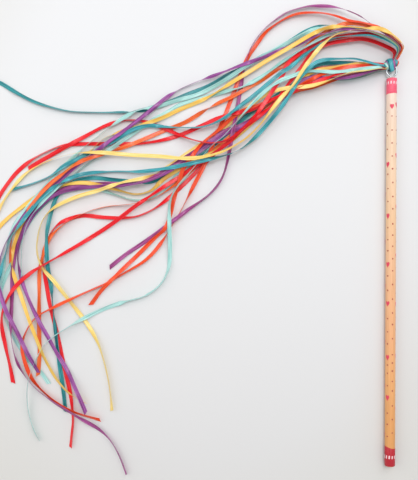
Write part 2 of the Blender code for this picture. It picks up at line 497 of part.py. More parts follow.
def stacked_strips():
    """Lay the ribbons down one after another. A height map of what already lies
    there gives each one the height it needs, so that it passes over the others
    in long low humps. Returns name -> (n, 3) points in millimetres."""
    cell = 0.4
    x0, y0 = -345.0, -185.0
    grid = np.zeros((int(380 / cell), int(400 / cell)))
    laid = {}
    for name, pts in ROUTES.items():
        q = clear_of_knot(smooth_route(pts))
        side = sideways(q)
        keep = stations(q)
        need = np.zeros(len(q))
        across = np.linspace(-RIBBON_W / 2 - 0.2, RIBBON_W / 2 + 0.2, 11)
        for i in range(len(q)):
            p = q[i] + side[i] * across[:, None]
            ix = ((p[:, 0] - x0) / cell).astype(int)
            iy = ((p[:, 1] - y0) / cell).astype(int)
            top = grid[ix, iy].max()
            need[i] = REST_Z if top == 0 else top + LAYER_GAP + RIBBON_T / 2
            need[i] = max(need[i], REST_Z + lift(name, i * 0.5))
        z = np.zeros(len(keep))
        for j in range(len(keep)):
            a = keep[max(0, j - 1)]
            b = keep[min(len(keep) - 1, j + 1)]
            z[j] = need[a:b + 1].max()
        for j in range(1, len(keep)):
            z[j] = max(z[j], z[j - 1] - HUMP_SLOPE * 0.5 * (keep[j] - keep[j - 1]))
        for j in range(len(keep) - 2, -1, -1):
            z[j] = max(z[j], z[j + 1] - HUMP_SLOPE * 0.5 * (keep[j + 1] - keep[j]))
        line = np.column_stack([q[keep], z])
        laid[name] = line
        # what it adds to the height map, along its own straight stretches
        wide = np.arange(-RIBBON_W / 2 - 0.3, RIBBON_W / 2 + 0.31, 0.3)
        for j in range(len(line) - 1):
            a, b = line[j], line[j + 1]
            d = b - a
            m = max(2, int(np.linalg.norm(d[:2]) / 0.3) + 1)
            u = np.array([-d[1], d[0]]) / np.linalg.norm(d[:2])
            f = np.linspace(0, 1, m)
            c = a[:2] + f[:, None] * d[:2]
            zz = a[2] + f * d[2] + RIBBON_T / 2
            for k in wide:
                p = c + u * k
                ix = ((p[:, 0] - x0) / cell).astype(int)
                iy = ((p[:, 1] - y0) / cell).astype(int)
                np.maximum.at(grid, (ix, iy), zz)
    return laid


def make_ribbon(name, line, mat, col, pivot):
    """A flat strip: an extruded poly line laid on its side, thickened."""
    cu = bpy.data.curves.new(name, "CURVE")
    cu.dimensions = "3D"
    cu.twist_mode = "Z_UP"
    cu.extrude = RIBBON_W / 2 * MM
    cu.bevel_depth = 0.0
    cu.render_resolution_u = 0
    sp = cu.splines.new("POLY")
    sp.points.add(len(line) - 1)
    for p, (x, y, z) in zip(sp.points, line):
        p.co = (x * MM, (y - RING_Y) * MM, z * MM, 1.0)
        p.tilt = math.pi / 2
    ob = add_object(name, cu, mat, col)
    ob.parent = pivot
    so = ob.modifiers.new("thickness", "SOLIDIFY")
    so.thickness = RIBBON_T * MM
    so.offset = 0.0
    return ob


def main():
    clear_scene()
    scene = bpy.context.scene
    parts = bpy.data.collections.new("ribbon_wand")
    cutters = bpy.data.collections.new("cutters")
    scene.collection.children.link(parts)
    scene.collection.children.link(cutters)

    wood = material("birch_wood", (0.86, 0.62, 0.38), 0.55)
    paper = material("red_paper", (0.70, 0.04, 0.09), 0.5)
    steel = material("plated_steel", (0.62, 0.64, 0.66), 0.25, 1.0)
    satin = {k: material("satin_" + k, c, 0.35) for k, c in COLOURS.items()}

    make_dowel(wood, parts)
    make_band("eye_end_band", EYE_END_Y - 0.15 - EYE_BAND_LEN, EYE_BAND_LEN, paper, parts)
    make_band("butt_end_band", BUTT_Y + 0.15, BUTT_BAND_LEN, paper, parts)
    make_screw_eye(steel, parts, cutters)

    # the knot and the ribbons turn together round the ring's own axis
    pivot = bpy.data.objects.new("ribbon_pivot", None)
    pivot.location = (0.0, RING_Y * MM, 0.0)
    parts.objects.link(pivot)
    bpy.context.view_layer.update()

    knot = make_knot(satin["teal"], parts, cutters)
    knot.parent = pivot
    knot.matrix_parent_inverse = Matrix.Translation((0.0, -RING_Y * MM, 0.0))
    for name, line in stacked_strips().items():
        make_ribbon(name, line, satin[name.split("_")[1]], parts, pivot)


main()
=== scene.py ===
# Looks of the ribbon wand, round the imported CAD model.
import math

import bmesh
import bpy
import numpy as np
from mathutils import Matrix, Vector


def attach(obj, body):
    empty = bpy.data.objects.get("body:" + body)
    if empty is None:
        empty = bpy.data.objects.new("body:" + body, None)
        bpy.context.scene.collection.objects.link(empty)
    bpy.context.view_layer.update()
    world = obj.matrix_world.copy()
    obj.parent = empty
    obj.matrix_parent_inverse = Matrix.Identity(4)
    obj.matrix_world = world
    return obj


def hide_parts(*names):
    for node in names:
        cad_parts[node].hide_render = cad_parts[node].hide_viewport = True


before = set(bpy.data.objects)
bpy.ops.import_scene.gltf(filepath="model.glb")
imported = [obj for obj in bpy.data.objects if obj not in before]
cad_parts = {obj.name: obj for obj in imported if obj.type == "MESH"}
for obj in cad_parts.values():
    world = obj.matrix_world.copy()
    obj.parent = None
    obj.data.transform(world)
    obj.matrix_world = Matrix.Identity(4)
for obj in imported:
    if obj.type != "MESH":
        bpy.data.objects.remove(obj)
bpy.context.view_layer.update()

MM = 0.001

# ---- sizes, as in part.py (millimetres) ----
AXIS_Z = 4.20
DOWEL_R = 3.95
BUTT_Y = -157.75
EYE_END_Y = BUTT_Y + 304.8
WIRE_R = 0.70
RING_R = 4.15
RING_Y = 157.75 - RING_R - WIRE_R
KNOT_C = np.array((-0.6, 158.2, 4.35))
KNOT_R = np.array((6.2, 5.2, 3.9))
RIBBON_W = 3.2
HALF = RIBBON_W / 2

# Routes seen from above, (X, Y) in mm from the knot to the tail's end, the lowest
# ribbon of the pile first: the same points as in part.py.
ROUTES = {
    "ribbon_red_1_lower_tail": [(-5.5, 157.7), (-10.5, 158.6), (-15.9, 159.3), (-21.3, 159.4), (-33.8, 157.7),
        (-52.5, 155.8), (-59.9, 154.6), (-67, 151.1), (-81.2, 138.3), (-98.6, 124.8),
        (-116.7, 108.8), (-133.3, 93.7), (-148.2, 78.6), (-166.4, 60.3), (-178.2, 49.9),
        (-189.3, 42.4), (-201.1, 37.5), (-213.3, 36.3), (-228.4, 36.8), (-243.3, 38.1),
        (-254.2, 35.3), (-262.7, 31.3), (-269.4, 22.7), (-274.2, 9), (-275, 1.1), (-272.8, -11.5),
        (-269.1, -32.9), (-263.6, -54.3), (-258.4, -78.3), (-252.3, -104.1), (-250.1, -124.3),
        (-251, -134.2), (-252.1, -145.6)],
    "ribbon_mint_2_lower_tail": [(-5.4, 154.4), (-12, 152.9), (-19.3, 150.3), (-25.1, 148.8), (-34.8, 147.3),
        (-45.6, 147.2), (-55.9, 147.2), (-67, 146.3), (-79.6, 140.7), (-95.4, 128.7),
        (-111.2, 117.6), (-128.6, 103.2), (-145.9, 88.9), (-158.5, 79.3), (-166.4, 72.9),
        (-178.3, 60.2), (-192.5, 51.2), (-204.3, 50.9), (-216.4, 54.5), (-231.3, 59.2),
        (-239.2, 60.3), (-248.7, 59.5), (-258.2, 57), (-267.7, 52.2), (-275.6, 45.5),
        (-282.7, 37.1), (-289, 27.2), (-293.7, 16.1), (-299.1, 1), (-305.4, -13.3),
        (-308.5, -22.8), (-307.7, -31.5), (-304.2, -44.6), (-298.1, -57.9), (-287.9, -74.6),
        (-276.1, -86.3), (-269.6, -95.5)],
    "ribbon_orange_2_lower_tail": [(-5.5, 154.7), (-12.1, 154), (-18.2, 153.1), (-26.7, 151.3), (-36.1, 149.2), (-48, 145.2),
        (-60.6, 140.8), (-69.3, 139.2), (-78.8, 136), (-97, 124.8), (-116.7, 109.6),
        (-135.6, 93.7), (-153, 78.6), (-168, 65), (-177.1, 57.8), (-187.9, 51.5), (-201.2, 47.8),
        (-224.1, 45.3), (-236.1, 42.2), (-249.4, 36.1), (-259.1, 30), (-268.7, 20.2),
        (-274.2, 7.5), (-277.3, -6), (-277.6, -23.4), (-277.6, -48), (-277.2, -73.3),
        (-278.2, -88.8)],
    "ribbon_teal_2_lower_tail": [(-5.5, 155.5), (-10.5, 155.1), (-15.1, 155.3), (-22.9, 157.6), (-30.6, 159.6),
        (-46.5, 159.9), (-54.4, 159.5), (-61.5, 157.1), (-72.5, 147.1), (-87.5, 135.1),
        (-107.3, 123.1), (-125.4, 107.2), (-141.2, 93.7), (-156.2, 82.5), (-173.6, 72.9),
        (-183, 67.3), (-192.5, 64.5), (-204.4, 65.2), (-219.5, 66.6), (-236.3, 68), (-249.6, 65.2),
        (-257.5, 59), (-264.1, 51.9), (-267.9, 41.6), (-270.3, 29.9), (-271.2, 18.6),
        (-270.1, -5.7), (-267.6, -20.8), (-265.4, -42), (-262.8, -68.5), (-259.2, -92.3),
        (-256.2, -117.6)],
    "ribbon_yellow_1_lower_tail": [(-5.4, 154), (-12, 153.1), (-19.4, 151.7), (-25.1, 150.8), (-32.4, 150.1), (-38.5, 148.6),
        (-44.5, 146.1), (-60.2, 140.6), (-69.3, 138.8), (-86.8, 137.5), (-100, 133.1),
        (-113.9, 123.1), (-131, 108.8), (-148.3, 96.2), (-162.9, 86.4), (-175.3, 77.1),
        (-189.4, 69.1), (-210.4, 64.2), (-231.5, 57.2), (-248.3, 52.5), (-265.3, 44.5),
        (-273, 37.2), (-277.9, 25.7), (-279.1, 10.6), (-274.7, -3.2), (-266.1, -12.9),
        (-252.3, -31.2), (-238.7, -48.6), (-230.7, -63.1), (-223.5, -86.5), (-220.2, -106.3),
        (-219.4, -116.2)],
    "ribbon_orange_1_upper_tail": [(4.4, 164.1), (7, 168.9), (5.1, 173.7), (0.8, 177.6), (-4.3, 181.8), (-10.5, 185.3),
        (-18.2, 187.6), (-26.6, 189.7), (-34.3, 191), (-41.2, 194.1), (-48.9, 196.8),
        (-56.6, 198.5), (-64.4, 198.9), (-72.1, 198.6), (-79.1, 197), (-86.2, 193.5), (-93, 189),
        (-99.1, 184.2), (-103.9, 177.8), (-108.7, 171.1), (-112.2, 165.9), (-114.6, 161.1),
        (-118.5, 151.6), (-121.9, 142.1), (-126.1, 131.2), (-131.2, 117.5), (-139.6, 96.8),
        (-147.4, 77.8), (-154, 65.1), (-160.8, 51.6), (-166.7, 40.5), (-175.7, 25.4),
        (-184.1, 12.7), (-193.8, 2.7), (-206.4, -5.2), (-223.8, -15.3), (-235.8, -20.6),
        (-247.9, -26.1), (-266, -34.7), (-278.1, -41.5), (-284.6, -48.8), (-289.6, -59.7),
        (-290.7, -66.3), (-289.3, -73.9), (-283.9, -89.6), (-274.1, -101.4), (-260.8, -111.3),
        (-249, -117.1), (-235.8, -121.2), (-228.6, -123.4)],
    "ribbon_purple_1_lower_tail": [(-5.5, 155.1), (-10.5, 154.2), (-15.1, 152.9), (-25.9, 150.1), (-36.1, 148),
        (-45.6, 147.5), (-54.3, 148), (-61.5, 148.7), (-68.6, 147.1), (-82.8, 135.1),
        (-101.7, 120), (-120.7, 108.8), (-130.2, 106), (-145.3, 95.7), (-164.9, 82.5),
        (-183.1, 70.5), (-195.2, 66.1), (-211.6, 63.6), (-230.1, 63.1), (-248.4, 61.5),
        (-266.5, 55), (-280.4, 44.7), (-291, 28), (-297.2, 4.5), (-298.9, -11.7), (-299, -36.2),
        (-298.9, -59.2), (-295.8, -75.3), (-288.5, -89), (-278.6, -100.3), (-265.3, -109.7),
        (-252.2, -117.1), (-239.1, -124.9), (-229.2, -131.4), (-220.6, -139.9), (-213.3, -152.2),
        (-207.6, -166.8)],
    "ribbon_yellow_2_lower_tail": [(-5.5, 157), (-10.5, 157.3), (-21.3, 158.2), (-27, 157.9), (-36.2, 156.4), (-50.6, 154.5),
        (-59.1, 152.7), (-67, 148.7), (-82.8, 133.6), (-100.1, 120), (-119.1, 103.3),
        (-138.8, 88.9), (-158.6, 80.1), (-180.7, 66.1), (-189.3, 58.2), (-201.2, 55.1),
        (-213.4, 57.7), (-226.6, 61.2), (-242.4, 64), (-260.6, 61.4), (-271.4, 55.4),
        (-282.7, 44.4), (-291.2, 32.3), (-296.1, 18.4), (-298.7, 4.2), (-298, -3.3), (-294, -19.1),
        (-287.2, -37.3), (-279.9, -56.7), (-274.8, -71.2), (-266.2, -87.5), (-254.3, -101.3),
        (-240, -110.4)],
    "ribbon_purple_2_lower_tail": [(-5.4, 154.5), (-10.5, 153.4), (-16.7, 151.8), (-26.7, 148.7), (-36.9, 146.5),
        (-46.4, 145.8), (-55.1, 146.4), (-62.2, 146.8), (-69.4, 145.2), (-82.8, 133.2),
        (-100.9, 118.4), (-119.1, 107.2), (-129.4, 104), (-144.4, 94), (-163.3, 80.9),
        (-181.5, 68.9), (-194.1, 64.4), (-211.6, 61.6), (-228.6, 60.9), (-248.3, 59.2),
        (-266.5, 53), (-280.3, 41.1), (-288.7, 27.4), (-293.3, 11.3), (-293.9, 3.9),
        (-291.6, -11.2), (-286.1, -25.1), (-276.3, -45.1), (-269, -59), (-263.6, -69.9),
        (-255.7, -82.9), (-248.4, -97.4), (-242.4, -110.4), (-239.4, -117.7)],
    "ribbon_purple_1_upper_tail": [(3.9, 163.6), (6.4, 167.7), (5.4, 172.3), (1.5, 176.5), (-3.5, 180.7), (-9, 184.1),
        (-12.9, 186.1), (-19.7, 191.4), (-25.8, 195.6), (-34.2, 199.4), (-41.2, 201.8),
        (-48.9, 203.5), (-56.6, 204.1), (-65.1, 204.2), (-72.1, 202.7), (-82.3, 199.9),
        (-88.6, 196.1), (-94.2, 192.1), (-99.7, 187.3), (-104.4, 181.8), (-108.3, 176.2),
        (-110.7, 171.8), (-113.8, 163.5), (-116.5, 152.4), (-119.2, 136.5), (-122.7, 115.9),
        (-125.9, 98.5), (-129.4, 79.6), (-132.4, 69.9), (-136.6, 62.8), (-143.4, 55.2),
        (-158.4, 44.1), (-172.6, 33.3), (-186, 23.3), (-197.8, 15), (-209.7, 7), (-221.9, -3)],
    "ribbon_red_1_upper_tail": [(2.2, 162.7), (3.2, 166), (0.1, 169.6), (-6.7, 172.8), (-14.4, 175.7), (-24, 177.9),
        (-37.5, 176.3), (-49, 174.3), (-60.3, 169.3), (-70.8, 155.9), (-82, 141.1), (-94.6, 124.8),
        (-110.9, 111), (-127.7, 96.5), (-144.3, 84.1), (-167.4, 68.7), (-183, 58.2),
        (-201.2, 45.4), (-219.3, 32), (-237.5, 20.3), (-254, 10.2), (-269.8, 1), (-284.4, -8.2),
        (-296.4, -19.1), (-303.7, -31.9), (-306.6, -47.1), (-304, -66.3), (-299.7, -85.1),
        (-298, -94.8)],
    "ribbon_orange_1_lower_tail": [(-5.5, 156.3), (-10.5, 156), (-16.7, 156), (-28.3, 155.9), (-37.3, 155.2), (-45.6, 153.1),
        (-55.1, 149.5), (-64.6, 144.7), (-82, 134.4), (-101.7, 125.5), (-119.9, 119.4),
        (-136.3, 106), (-148.3, 96.2), (-158.6, 82.5), (-164.4, 74.1), (-167.3, 63.8),
        (-171.1, 51.5), (-174.2, 37.3), (-178.1, 27.7), (-184.8, 21.8), (-201, 5.8), (-221, -13.7),
        (-230.1, -23.5), (-236.6, -32.6)],
    "ribbon_red_2_lower_tail": [(-5.5, 155.9), (-10.5, 155.3), (-16.7, 154.4), (-28.3, 153.2), (-40.1, 150.4),
        (-55.4, 144.8), (-67.5, 140), (-79.6, 134.4), (-93.8, 129.5), (-106.1, 122.4),
        (-113.4, 119.5), (-124.2, 118.5), (-136.3, 115.1), (-148.4, 109.6), (-166.3, 102.3),
        (-180.3, 98.2), (-198.5, 95.4), (-224.4, 94.9), (-242.4, 94.9), (-260.6, 93.1),
        (-272.7, 88.3), (-284.8, 81.4), (-296.9, 71), (-307.7, 56.4), (-313.6, 45.3),
        (-317.5, 32.6), (-319.8, 18.3), (-320.5, 0.9)],
    "ribbon_orange_2_upper_tail": [(4.9, 164.7), (7.6, 168.9), (5.7, 173.1), (0.4, 178), (-5.8, 182.6), (-12.1, 185.3),
        (-18.2, 187), (-29.7, 189.3), (-38.4, 188.8), (-51.1, 183.8), (-65, 174), (-76, 163.5),
        (-88, 156.3), (-100.3, 147.1), (-112.1, 140.4), (-124.3, 133), (-136.4, 127.5),
        (-146.1, 122.2), (-162.1, 112.6), (-180.3, 105.2), (-195.4, 98.5), (-219.6, 88.7),
        (-242.5, 80.9), (-254.4, 73.6), (-266.5, 63.9), (-276.2, 54.2), (-285.9, 42.3),
        (-294.9, 28), (-298.8, 15.3), (-299.1, 1)],
    "ribbon_red_2_upper_tail": [(4.5, 164.4), (6.5, 168.5), (3.6, 173), (-3.1, 177.3), (-12.1, 180.5), (-21, 182),
        (-29.7, 181.2), (-38.5, 179.7), (-46.6, 178.7), (-56.1, 176), (-67.9, 169.8), (-79, 161.2),
        (-83.2, 156.3), (-86.2, 148.1), (-91, 140.8), (-100, 126.8), (-107.9, 115.8),
        (-118.3, 105.5), (-127.7, 98), (-135, 95.9), (-146.5, 95.7), (-160.2, 99.3),
        (-174.2, 105.2), (-186.4, 110.1), (-198.6, 113.6), (-211.8, 113.3), (-226, 109.2),
        (-245.5, 98.5), (-260.8, 89.9), (-278.7, 80.3), (-286.8, 75.1)],
    "ribbon_teal_2_upper_tail": [(3.4, 163.3), (5.6, 167.1), (4.2, 170.1), (0.1, 174.1), (-4.2, 177.2), (-14.4, 181.8),
        (-25.9, 184.4), (-37.4, 185.9), (-46.6, 187.3), (-57.4, 187.6), (-68.3, 183.7),
        (-79.1, 177), (-88.1, 172), (-103.5, 163.4), (-118.5, 154.3), (-130.4, 148.8),
        (-142.5, 142), (-160.6, 134.8), (-174.3, 128.9), (-192, 122.7), (-203.9, 120.3),
        (-213.7, 119.9), (-238, 119.8), (-254.6, 120.8), (-272.8, 125), (-285.1, 129.4),
        (-297.2, 135.7), (-308.2, 142.3), (-318.9, 147), (-329.2, 147.8), (-337.9, 144.2),
        (-343.4, 136.2), (-345.7, 125.9), (-345.6, 113.2)],
    "ribbon_mint_2_upper_tail": [(4, 163.8), (6.2, 168.2), (4.4, 171.9), (-0.7, 176), (-7.4, 179.7), (-15.2, 181.7),
        (-24.4, 182.9), (-33.6, 183.1), (-40.5, 182.5), (-48.9, 180.8), (-64.3, 173.4),
        (-82.1, 162.9), (-94.1, 154.5), (-106.2, 146.1), (-119.2, 139.3), (-127.4, 137.6),
        (-148.5, 132), (-166.7, 126.5), (-177.4, 119.8), (-187.2, 114.3), (-195.9, 108.4),
        (-207.8, 100.5), (-220.4, 91.7), (-232.2, 83.7), (-244.1, 75.7), (-255.1, 66.2),
        (-265.4, 57.4), (-274, 48.7), (-281.9, 39.1), (-287, 28.8), (-289.7, 16.9), (-290.8, 4.2),
        (-290.4, -10)],
    "ribbon_yellow_2_upper_tail": [(5.5, 165.2), (7.9, 169.7), (4.8, 174.5), (-3.1, 180.9), (-12.1, 184.2), (-20.9, 184.3),
        (-29.7, 185.2), (-44.3, 185.4), (-51.4, 184.4), (-62, 180.5), (-79.8, 170.6),
        (-97.2, 161.1), (-115.3, 150), (-132.8, 139.3), (-148.5, 130.1), (-166.7, 122.5),
        (-180.3, 115.5), (-195.5, 110), (-207, 106.3), (-226, 99.6), (-236.2, 90), (-252, 76.5),
        (-273.3, 58.2), (-290.7, 45.4), (-302.7, 35.8), (-310, 28.3), (-315.9, 19.1),
        (-319.8, 7.2), (-321.3, -7), (-320.8, -22.9)],
    "ribbon_mint_1_upper_tail": [(2.9, 163), (4.9, 166.7), (3.1, 170.4), (-2, 174.4), (-8.2, 177.9), (-16.8, 180.9),
        (-26, 183.2), (-35.1, 185), (-45.1, 185.7), (-53.6, 184.9), (-62.1, 183.9), (-69.8, 180.6),
        (-83.8, 173.5), (-99.6, 165.2), (-115.4, 155.2), (-133.5, 143.8), (-151.7, 134.8),
        (-166.7, 130.4), (-186.5, 123.9), (-199.1, 121.3), (-210.7, 115.3), (-222.8, 107.5),
        (-234.7, 98), (-245.4, 88.9), (-255.7, 79.6), (-267.8, 66.3), (-279.8, 52.9),
        (-289.4, 41.4), (-298.5, 27.9), (-303.9, 8.9), (-307.4, -10.9), (-310.1, -26),
        (-312.4, -41), (-315.5, -56.1)],
    "ribbon_teal_1_upper_tail": [(2.5, 162.8), (3.8, 166.4), (1.2, 170.4), (-4.5, 173.9), (-12.1, 176.8), (-21, 178.7),
        (-33.7, 178.6), (-45.1, 177.7), (-56.2, 173.5), (-68.2, 165.5), (-79.8, 154.9),
        (-86.2, 151.1), (-94.1, 144.6), (-106.1, 134.7), (-119.4, 124.3), (-134.2, 113.1),
        (-148.4, 107.9), (-165.2, 107.8), (-183.2, 108.8), (-190.6, 109.1), (-201.5, 106.8),
        (-219.6, 96.4), (-236.4, 88), (-248.5, 82), (-260.7, 75.4), (-266.5, 70.6), (-281.7, 63.8),
        (-298.3, 58.6)],
    "ribbon_purple_2_upper_tail": [(3.1, 163.4), (5.1, 167.4), (3.3, 171.3), (-1.7, 175.5), (-8.2, 179), (-16.8, 181.4),
        (-26, 182.8), (-35.1, 183.1), (-43.6, 182.7), (-52, 180.4), (-62, 178.5), (-75.2, 172.3),
        (-88.1, 168.4), (-100.3, 162.8), (-118.5, 156.1), (-136.5, 149.6), (-154.9, 143.5),
        (-168.3, 137.7), (-177.4, 131.3), (-189.6, 120.9), (-205.7, 108.7), (-219.6, 98.3),
        (-233.3, 87.1), (-245.4, 79.1), (-260.7, 66.4), (-274.9, 53.4), (-289.4, 37.7),
        (-299.1, 24.8), (-305.7, 12.5), (-309.4, 1), (-310.7, -10.9), (-307.3, -22.8),
        (-302.4, -37.3), (-296.3, -49.4), (-287.2, -68.2), (-280.7, -81.1), (-277.6, -86.3)],
    "ribbon_mint_1_lower_tail": [(-5.5, 154.8), (-11.3, 154.2), (-19.4, 153.2), (-28.2, 152.2), (-46.4, 151),
        (-64.6, 151.8), (-68.8, 151.6), (-78.9, 147.5), (-88, 143.7), (-99.4, 135.9),
        (-111.2, 123.9), (-124.2, 109.1), (-132.5, 100), (-142.3, 92.1), (-155.4, 76.2),
        (-169.5, 59.5), (-173.9, 49.9), (-174.5, 33.3), (-174, 14.3), (-174.9, -2),
        (-179.7, -13.5), (-184.6, -19), (-195.4, -26), (-205.8, -28.9), (-220.9, -33.8),
        (-239, -41.7), (-256.9, -51.7), (-270.8, -62.1), (-279.4, -76.5), (-283.9, -88.4),
        (-285.8, -101.5), (-285.1, -117.7), (-280.4, -133.6), (-276.7, -140.2)],
    "ribbon_teal_1_lower_tail": [(-5.5, 156.6), (-10.5, 156.5), (-14.6, 157.1), (-19.4, 158.7), (-30, 161.7),
        (-37.3, 161.9), (-49.6, 161.3), (-59.1, 158.8), (-65.8, 153.9), (-73.6, 144.7),
        (-82, 130.6), (-89, 120.9), (-98.7, 109.2), (-108.3, 98.9), (-118.2, 91), (-127.7, 86.6),
        (-140.3, 83), (-157.4, 78.9), (-174.1, 75.6), (-195.3, 73), (-219.5, 73.2), (-237.7, 71.6),
        (-250.2, 68.3), (-261.7, 62.2), (-271.4, 54.8), (-282.7, 43.1), (-292.2, 29.6),
        (-298.5, 20), (-303.8, 6.3), (-307.1, -5.8), (-310.1, -18.1), (-312.4, -33.9),
        (-313.1, -52.9)],
    "ribbon_yellow_1_upper_tail": [(2.8, 163.1), (4.3, 167), (1.9, 171.4), (-3.3, 175.2), (-9.7, 178.6), (-16.8, 180.9),
        (-24.5, 182.6), (-33.2, 182.6), (-38.5, 181.4), (-44.3, 179.8), (-50.2, 176.4),
        (-55, 172.3), (-59.6, 167.2), (-68.9, 154.8), (-78.4, 139.9), (-86.1, 131.7),
        (-94.6, 121.4), (-102.9, 110.5), (-113.8, 99.5), (-124.1, 92.8), (-132.5, 88.2),
        (-146.5, 84.1), (-160.4, 82.7), (-183.1, 84.6), (-207.7, 86), (-233.3, 87.4),
        (-248.5, 86.7), (-263.1, 83.3), (-275.8, 78.7), (-287.8, 71.6), (-298, 61.2),
        (-307.7, 46.7), (-313.6, 34.2), (-317.9, 19.9), (-320.6, 4.1), (-322, -13.4)],
}

# Where a ribbon turns over or stands on its edge: (X, Y) in mm, half length, kind.
TWISTS = {
    "ribbon_red_1_lower_tail": [(-269, 24, 20, "narrow"), (-195, 40, 30, "narrow"), (-275, 1, 14, "slim"), (-252, -133, 28, "slim")],
    "ribbon_mint_2_lower_tail": [(-80, 141, 12, "turn"), (-207, 52, 30, "narrow"), (-302, -43, 24, "narrow")],
    "ribbon_orange_2_lower_tail": [(-220, 43, 84, "edge")],
    "ribbon_teal_2_lower_tail": [(-198, 65, 12, "turn"), (-261, 56, 12, "slim"), (-266, -33, 20, "narrow")],
    "ribbon_yellow_1_lower_tail": [(-183, 72, 12, "turn"), (-275, 25, 46, "narrow"), (-223, -88, 48, "narrow")],
    "ribbon_orange_1_upper_tail": [(-202, -2, 46, "slim"), (-72, 199, 62, "slim"), (-168, 37, 32, "edge"), (-231, -18, 64, "narrow"), (-278, -46, 38, "narrow"), (-257, -111, 54, "slim")],
    "ribbon_purple_1_lower_tail": [(-202, 68, 30, "narrow"), (-297, -65, 24, "narrow"), (-280, -96, 36, "narrow"), (-214, -154, 40, "narrow")],
    "ribbon_yellow_2_lower_tail": [(-202, 55, 30, "narrow"), (-298, 1, 14, "turn"), (-262, -88, 44, "slim"), (-245, -107, 16, "narrow")],
    "ribbon_purple_2_lower_tail": [(-194, 69, 34, "narrow"), (-293, 9, 26, "narrow")],
    "ribbon_purple_1_upper_tail": [(-29, 199, 34, "narrow"), (-29, 199, 14, "edge"), (-94, 189, 52, "narrow"), (-106, 175, 46, "edge"), (-138, 62, 42, "narrow")],
    "ribbon_red_1_upper_tail": [(-269, 1, 20, "narrow"), (-304, -35, 26, "slim")],
    "ribbon_orange_1_lower_tail": [],
    "ribbon_red_2_lower_tail": [(-190, 96, 24, "slim"), (-272, 88, 30, "narrow")],
    "ribbon_orange_2_upper_tail": [(-146, 122, 14, "turn"), (-219, 89, 12, "turn"), (-295, 28, 16, "edge")],
    "ribbon_red_2_upper_tail": [(-148, 95, 36, "narrow"), (-205, 113, 18, "narrow")],
    "ribbon_teal_2_upper_tail": [(-89, 172, 12, "turn"), (-204, 120, 12, "turn"), (-250, 124, 64, "narrow")],
    "ribbon_mint_2_upper_tail": [(-119, 139, 12, "narrow"), (-242, 78, 30, "narrow"), (-287, 18, 48, "edge")],
    "ribbon_yellow_2_upper_tail": [(8, 166, 12, "edge"), (-140, 135, 14, "slim"), (-227, 96, 20, "edge")],
    "ribbon_mint_1_upper_tail": [(-199, 121, 12, "narrow"), (-231, 97, 28, "edge"), (-261, 73, 12, "turn"), (-304, 9, 14, "turn")],
    "ribbon_teal_1_upper_tail": [(-155, 109, 42, "narrow"), (-237, 88, 12, "turn"), (-280, 64, 32, "narrow")],
    "ribbon_purple_2_upper_tail": [(-160, 141, 22, "edge"), (-239, 83, 12, "turn"), (-304, 14, 28, "narrow")],
    "ribbon_mint_1_lower_tail": [(-166, 62, 34, "narrow"), (-140, 94, 62, "edge"), (-182, -17, 30, "narrow"), (-201, -28, 16, "edge"), (-283, -106, 66, "edge"), (-265, -59, 34, "edge")],
    "ribbon_teal_1_lower_tail": [(-124, 88, 30, "narrow"), (-122, 89, 8, "edge"), (-214, 73, 26, "narrow"), (-261, 62, 10, "turn"), (-299, 14, 30, "narrow")],
    "ribbon_yellow_1_upper_tail": [(-114, 103, 48, "narrow"), (-261, 84, 54, "narrow"), (-255, 85, 24, "edge"), (-302, 54, 20, "slim")],
}

RNG = np.random.default_rng(12)


def srgb(r, g, b):
    def f(c):
        c /= 255.0
        return c / 12.92 if c <= 0.04045 else ((c + 0.055) / 1.055) ** 2.4
    return (f(r), f(g), f(b))


# =============================================================== camera
cam_data = bpy.data.cameras.new("camera")
cam = bpy.data.objects.new("camera", cam_data)
bpy.context.scene.collection.objects.link(cam)
cam.location = (-0.1432, 0.0192, 0.520)
cam.rotation_euler = (0.0, 0.0, math.radians(0.283))
cam_data.sensor_width = 36.0
cam_data.lens = 655.0 * 36.0 / 480.0
cam_data.clip_start = 0.01
cam_data.clip_end = 20.0
bpy.context.scene.camera = cam


# =============================================================== node helpers
def new_material(name):
    m = bpy.data.materials.new(name)
    m.use_nodes = True
    nt = m.node_tree
    return m, nt, nt.nodes["Principled BSDF"]


def node(nt, kind, **inputs):
    n = nt.nodes.new(kind)
    for k, v in inputs.items():
        n.inputs[k.replace("_", " ")].default_value = v
    return n


def math_node(nt, op, a, b=None, c=None):
    n = nt.nodes.new("ShaderNodeMath")
    n.operation = op
    for i, v in enumerate((a, b, c)):
        if v is None:
            continue
        if isinstance(v, (int, float)):
            n.inputs[i].default_value = v
        else:
            nt.links.new(v, n.inputs[i])
    return n.outputs[0]


def mix_rgb(nt, fac, a, b, blend="MIX"):
    n = nt.nodes.new("ShaderNodeMix")
    n.data_type = "RGBA"
    n.blend_type = blend
    for sock, v in ((n.inputs[0], fac), (n.inputs[6], a), (n.inputs[7], b)):
        if isinstance(v, (int, float)):
            sock.default_value = v
        elif isinstance(v, tuple):
            sock.default_value = (*v, 1.0) if len(v) == 3 else v
        else:
            nt.links.new(v, sock)
    return n.outputs[2]


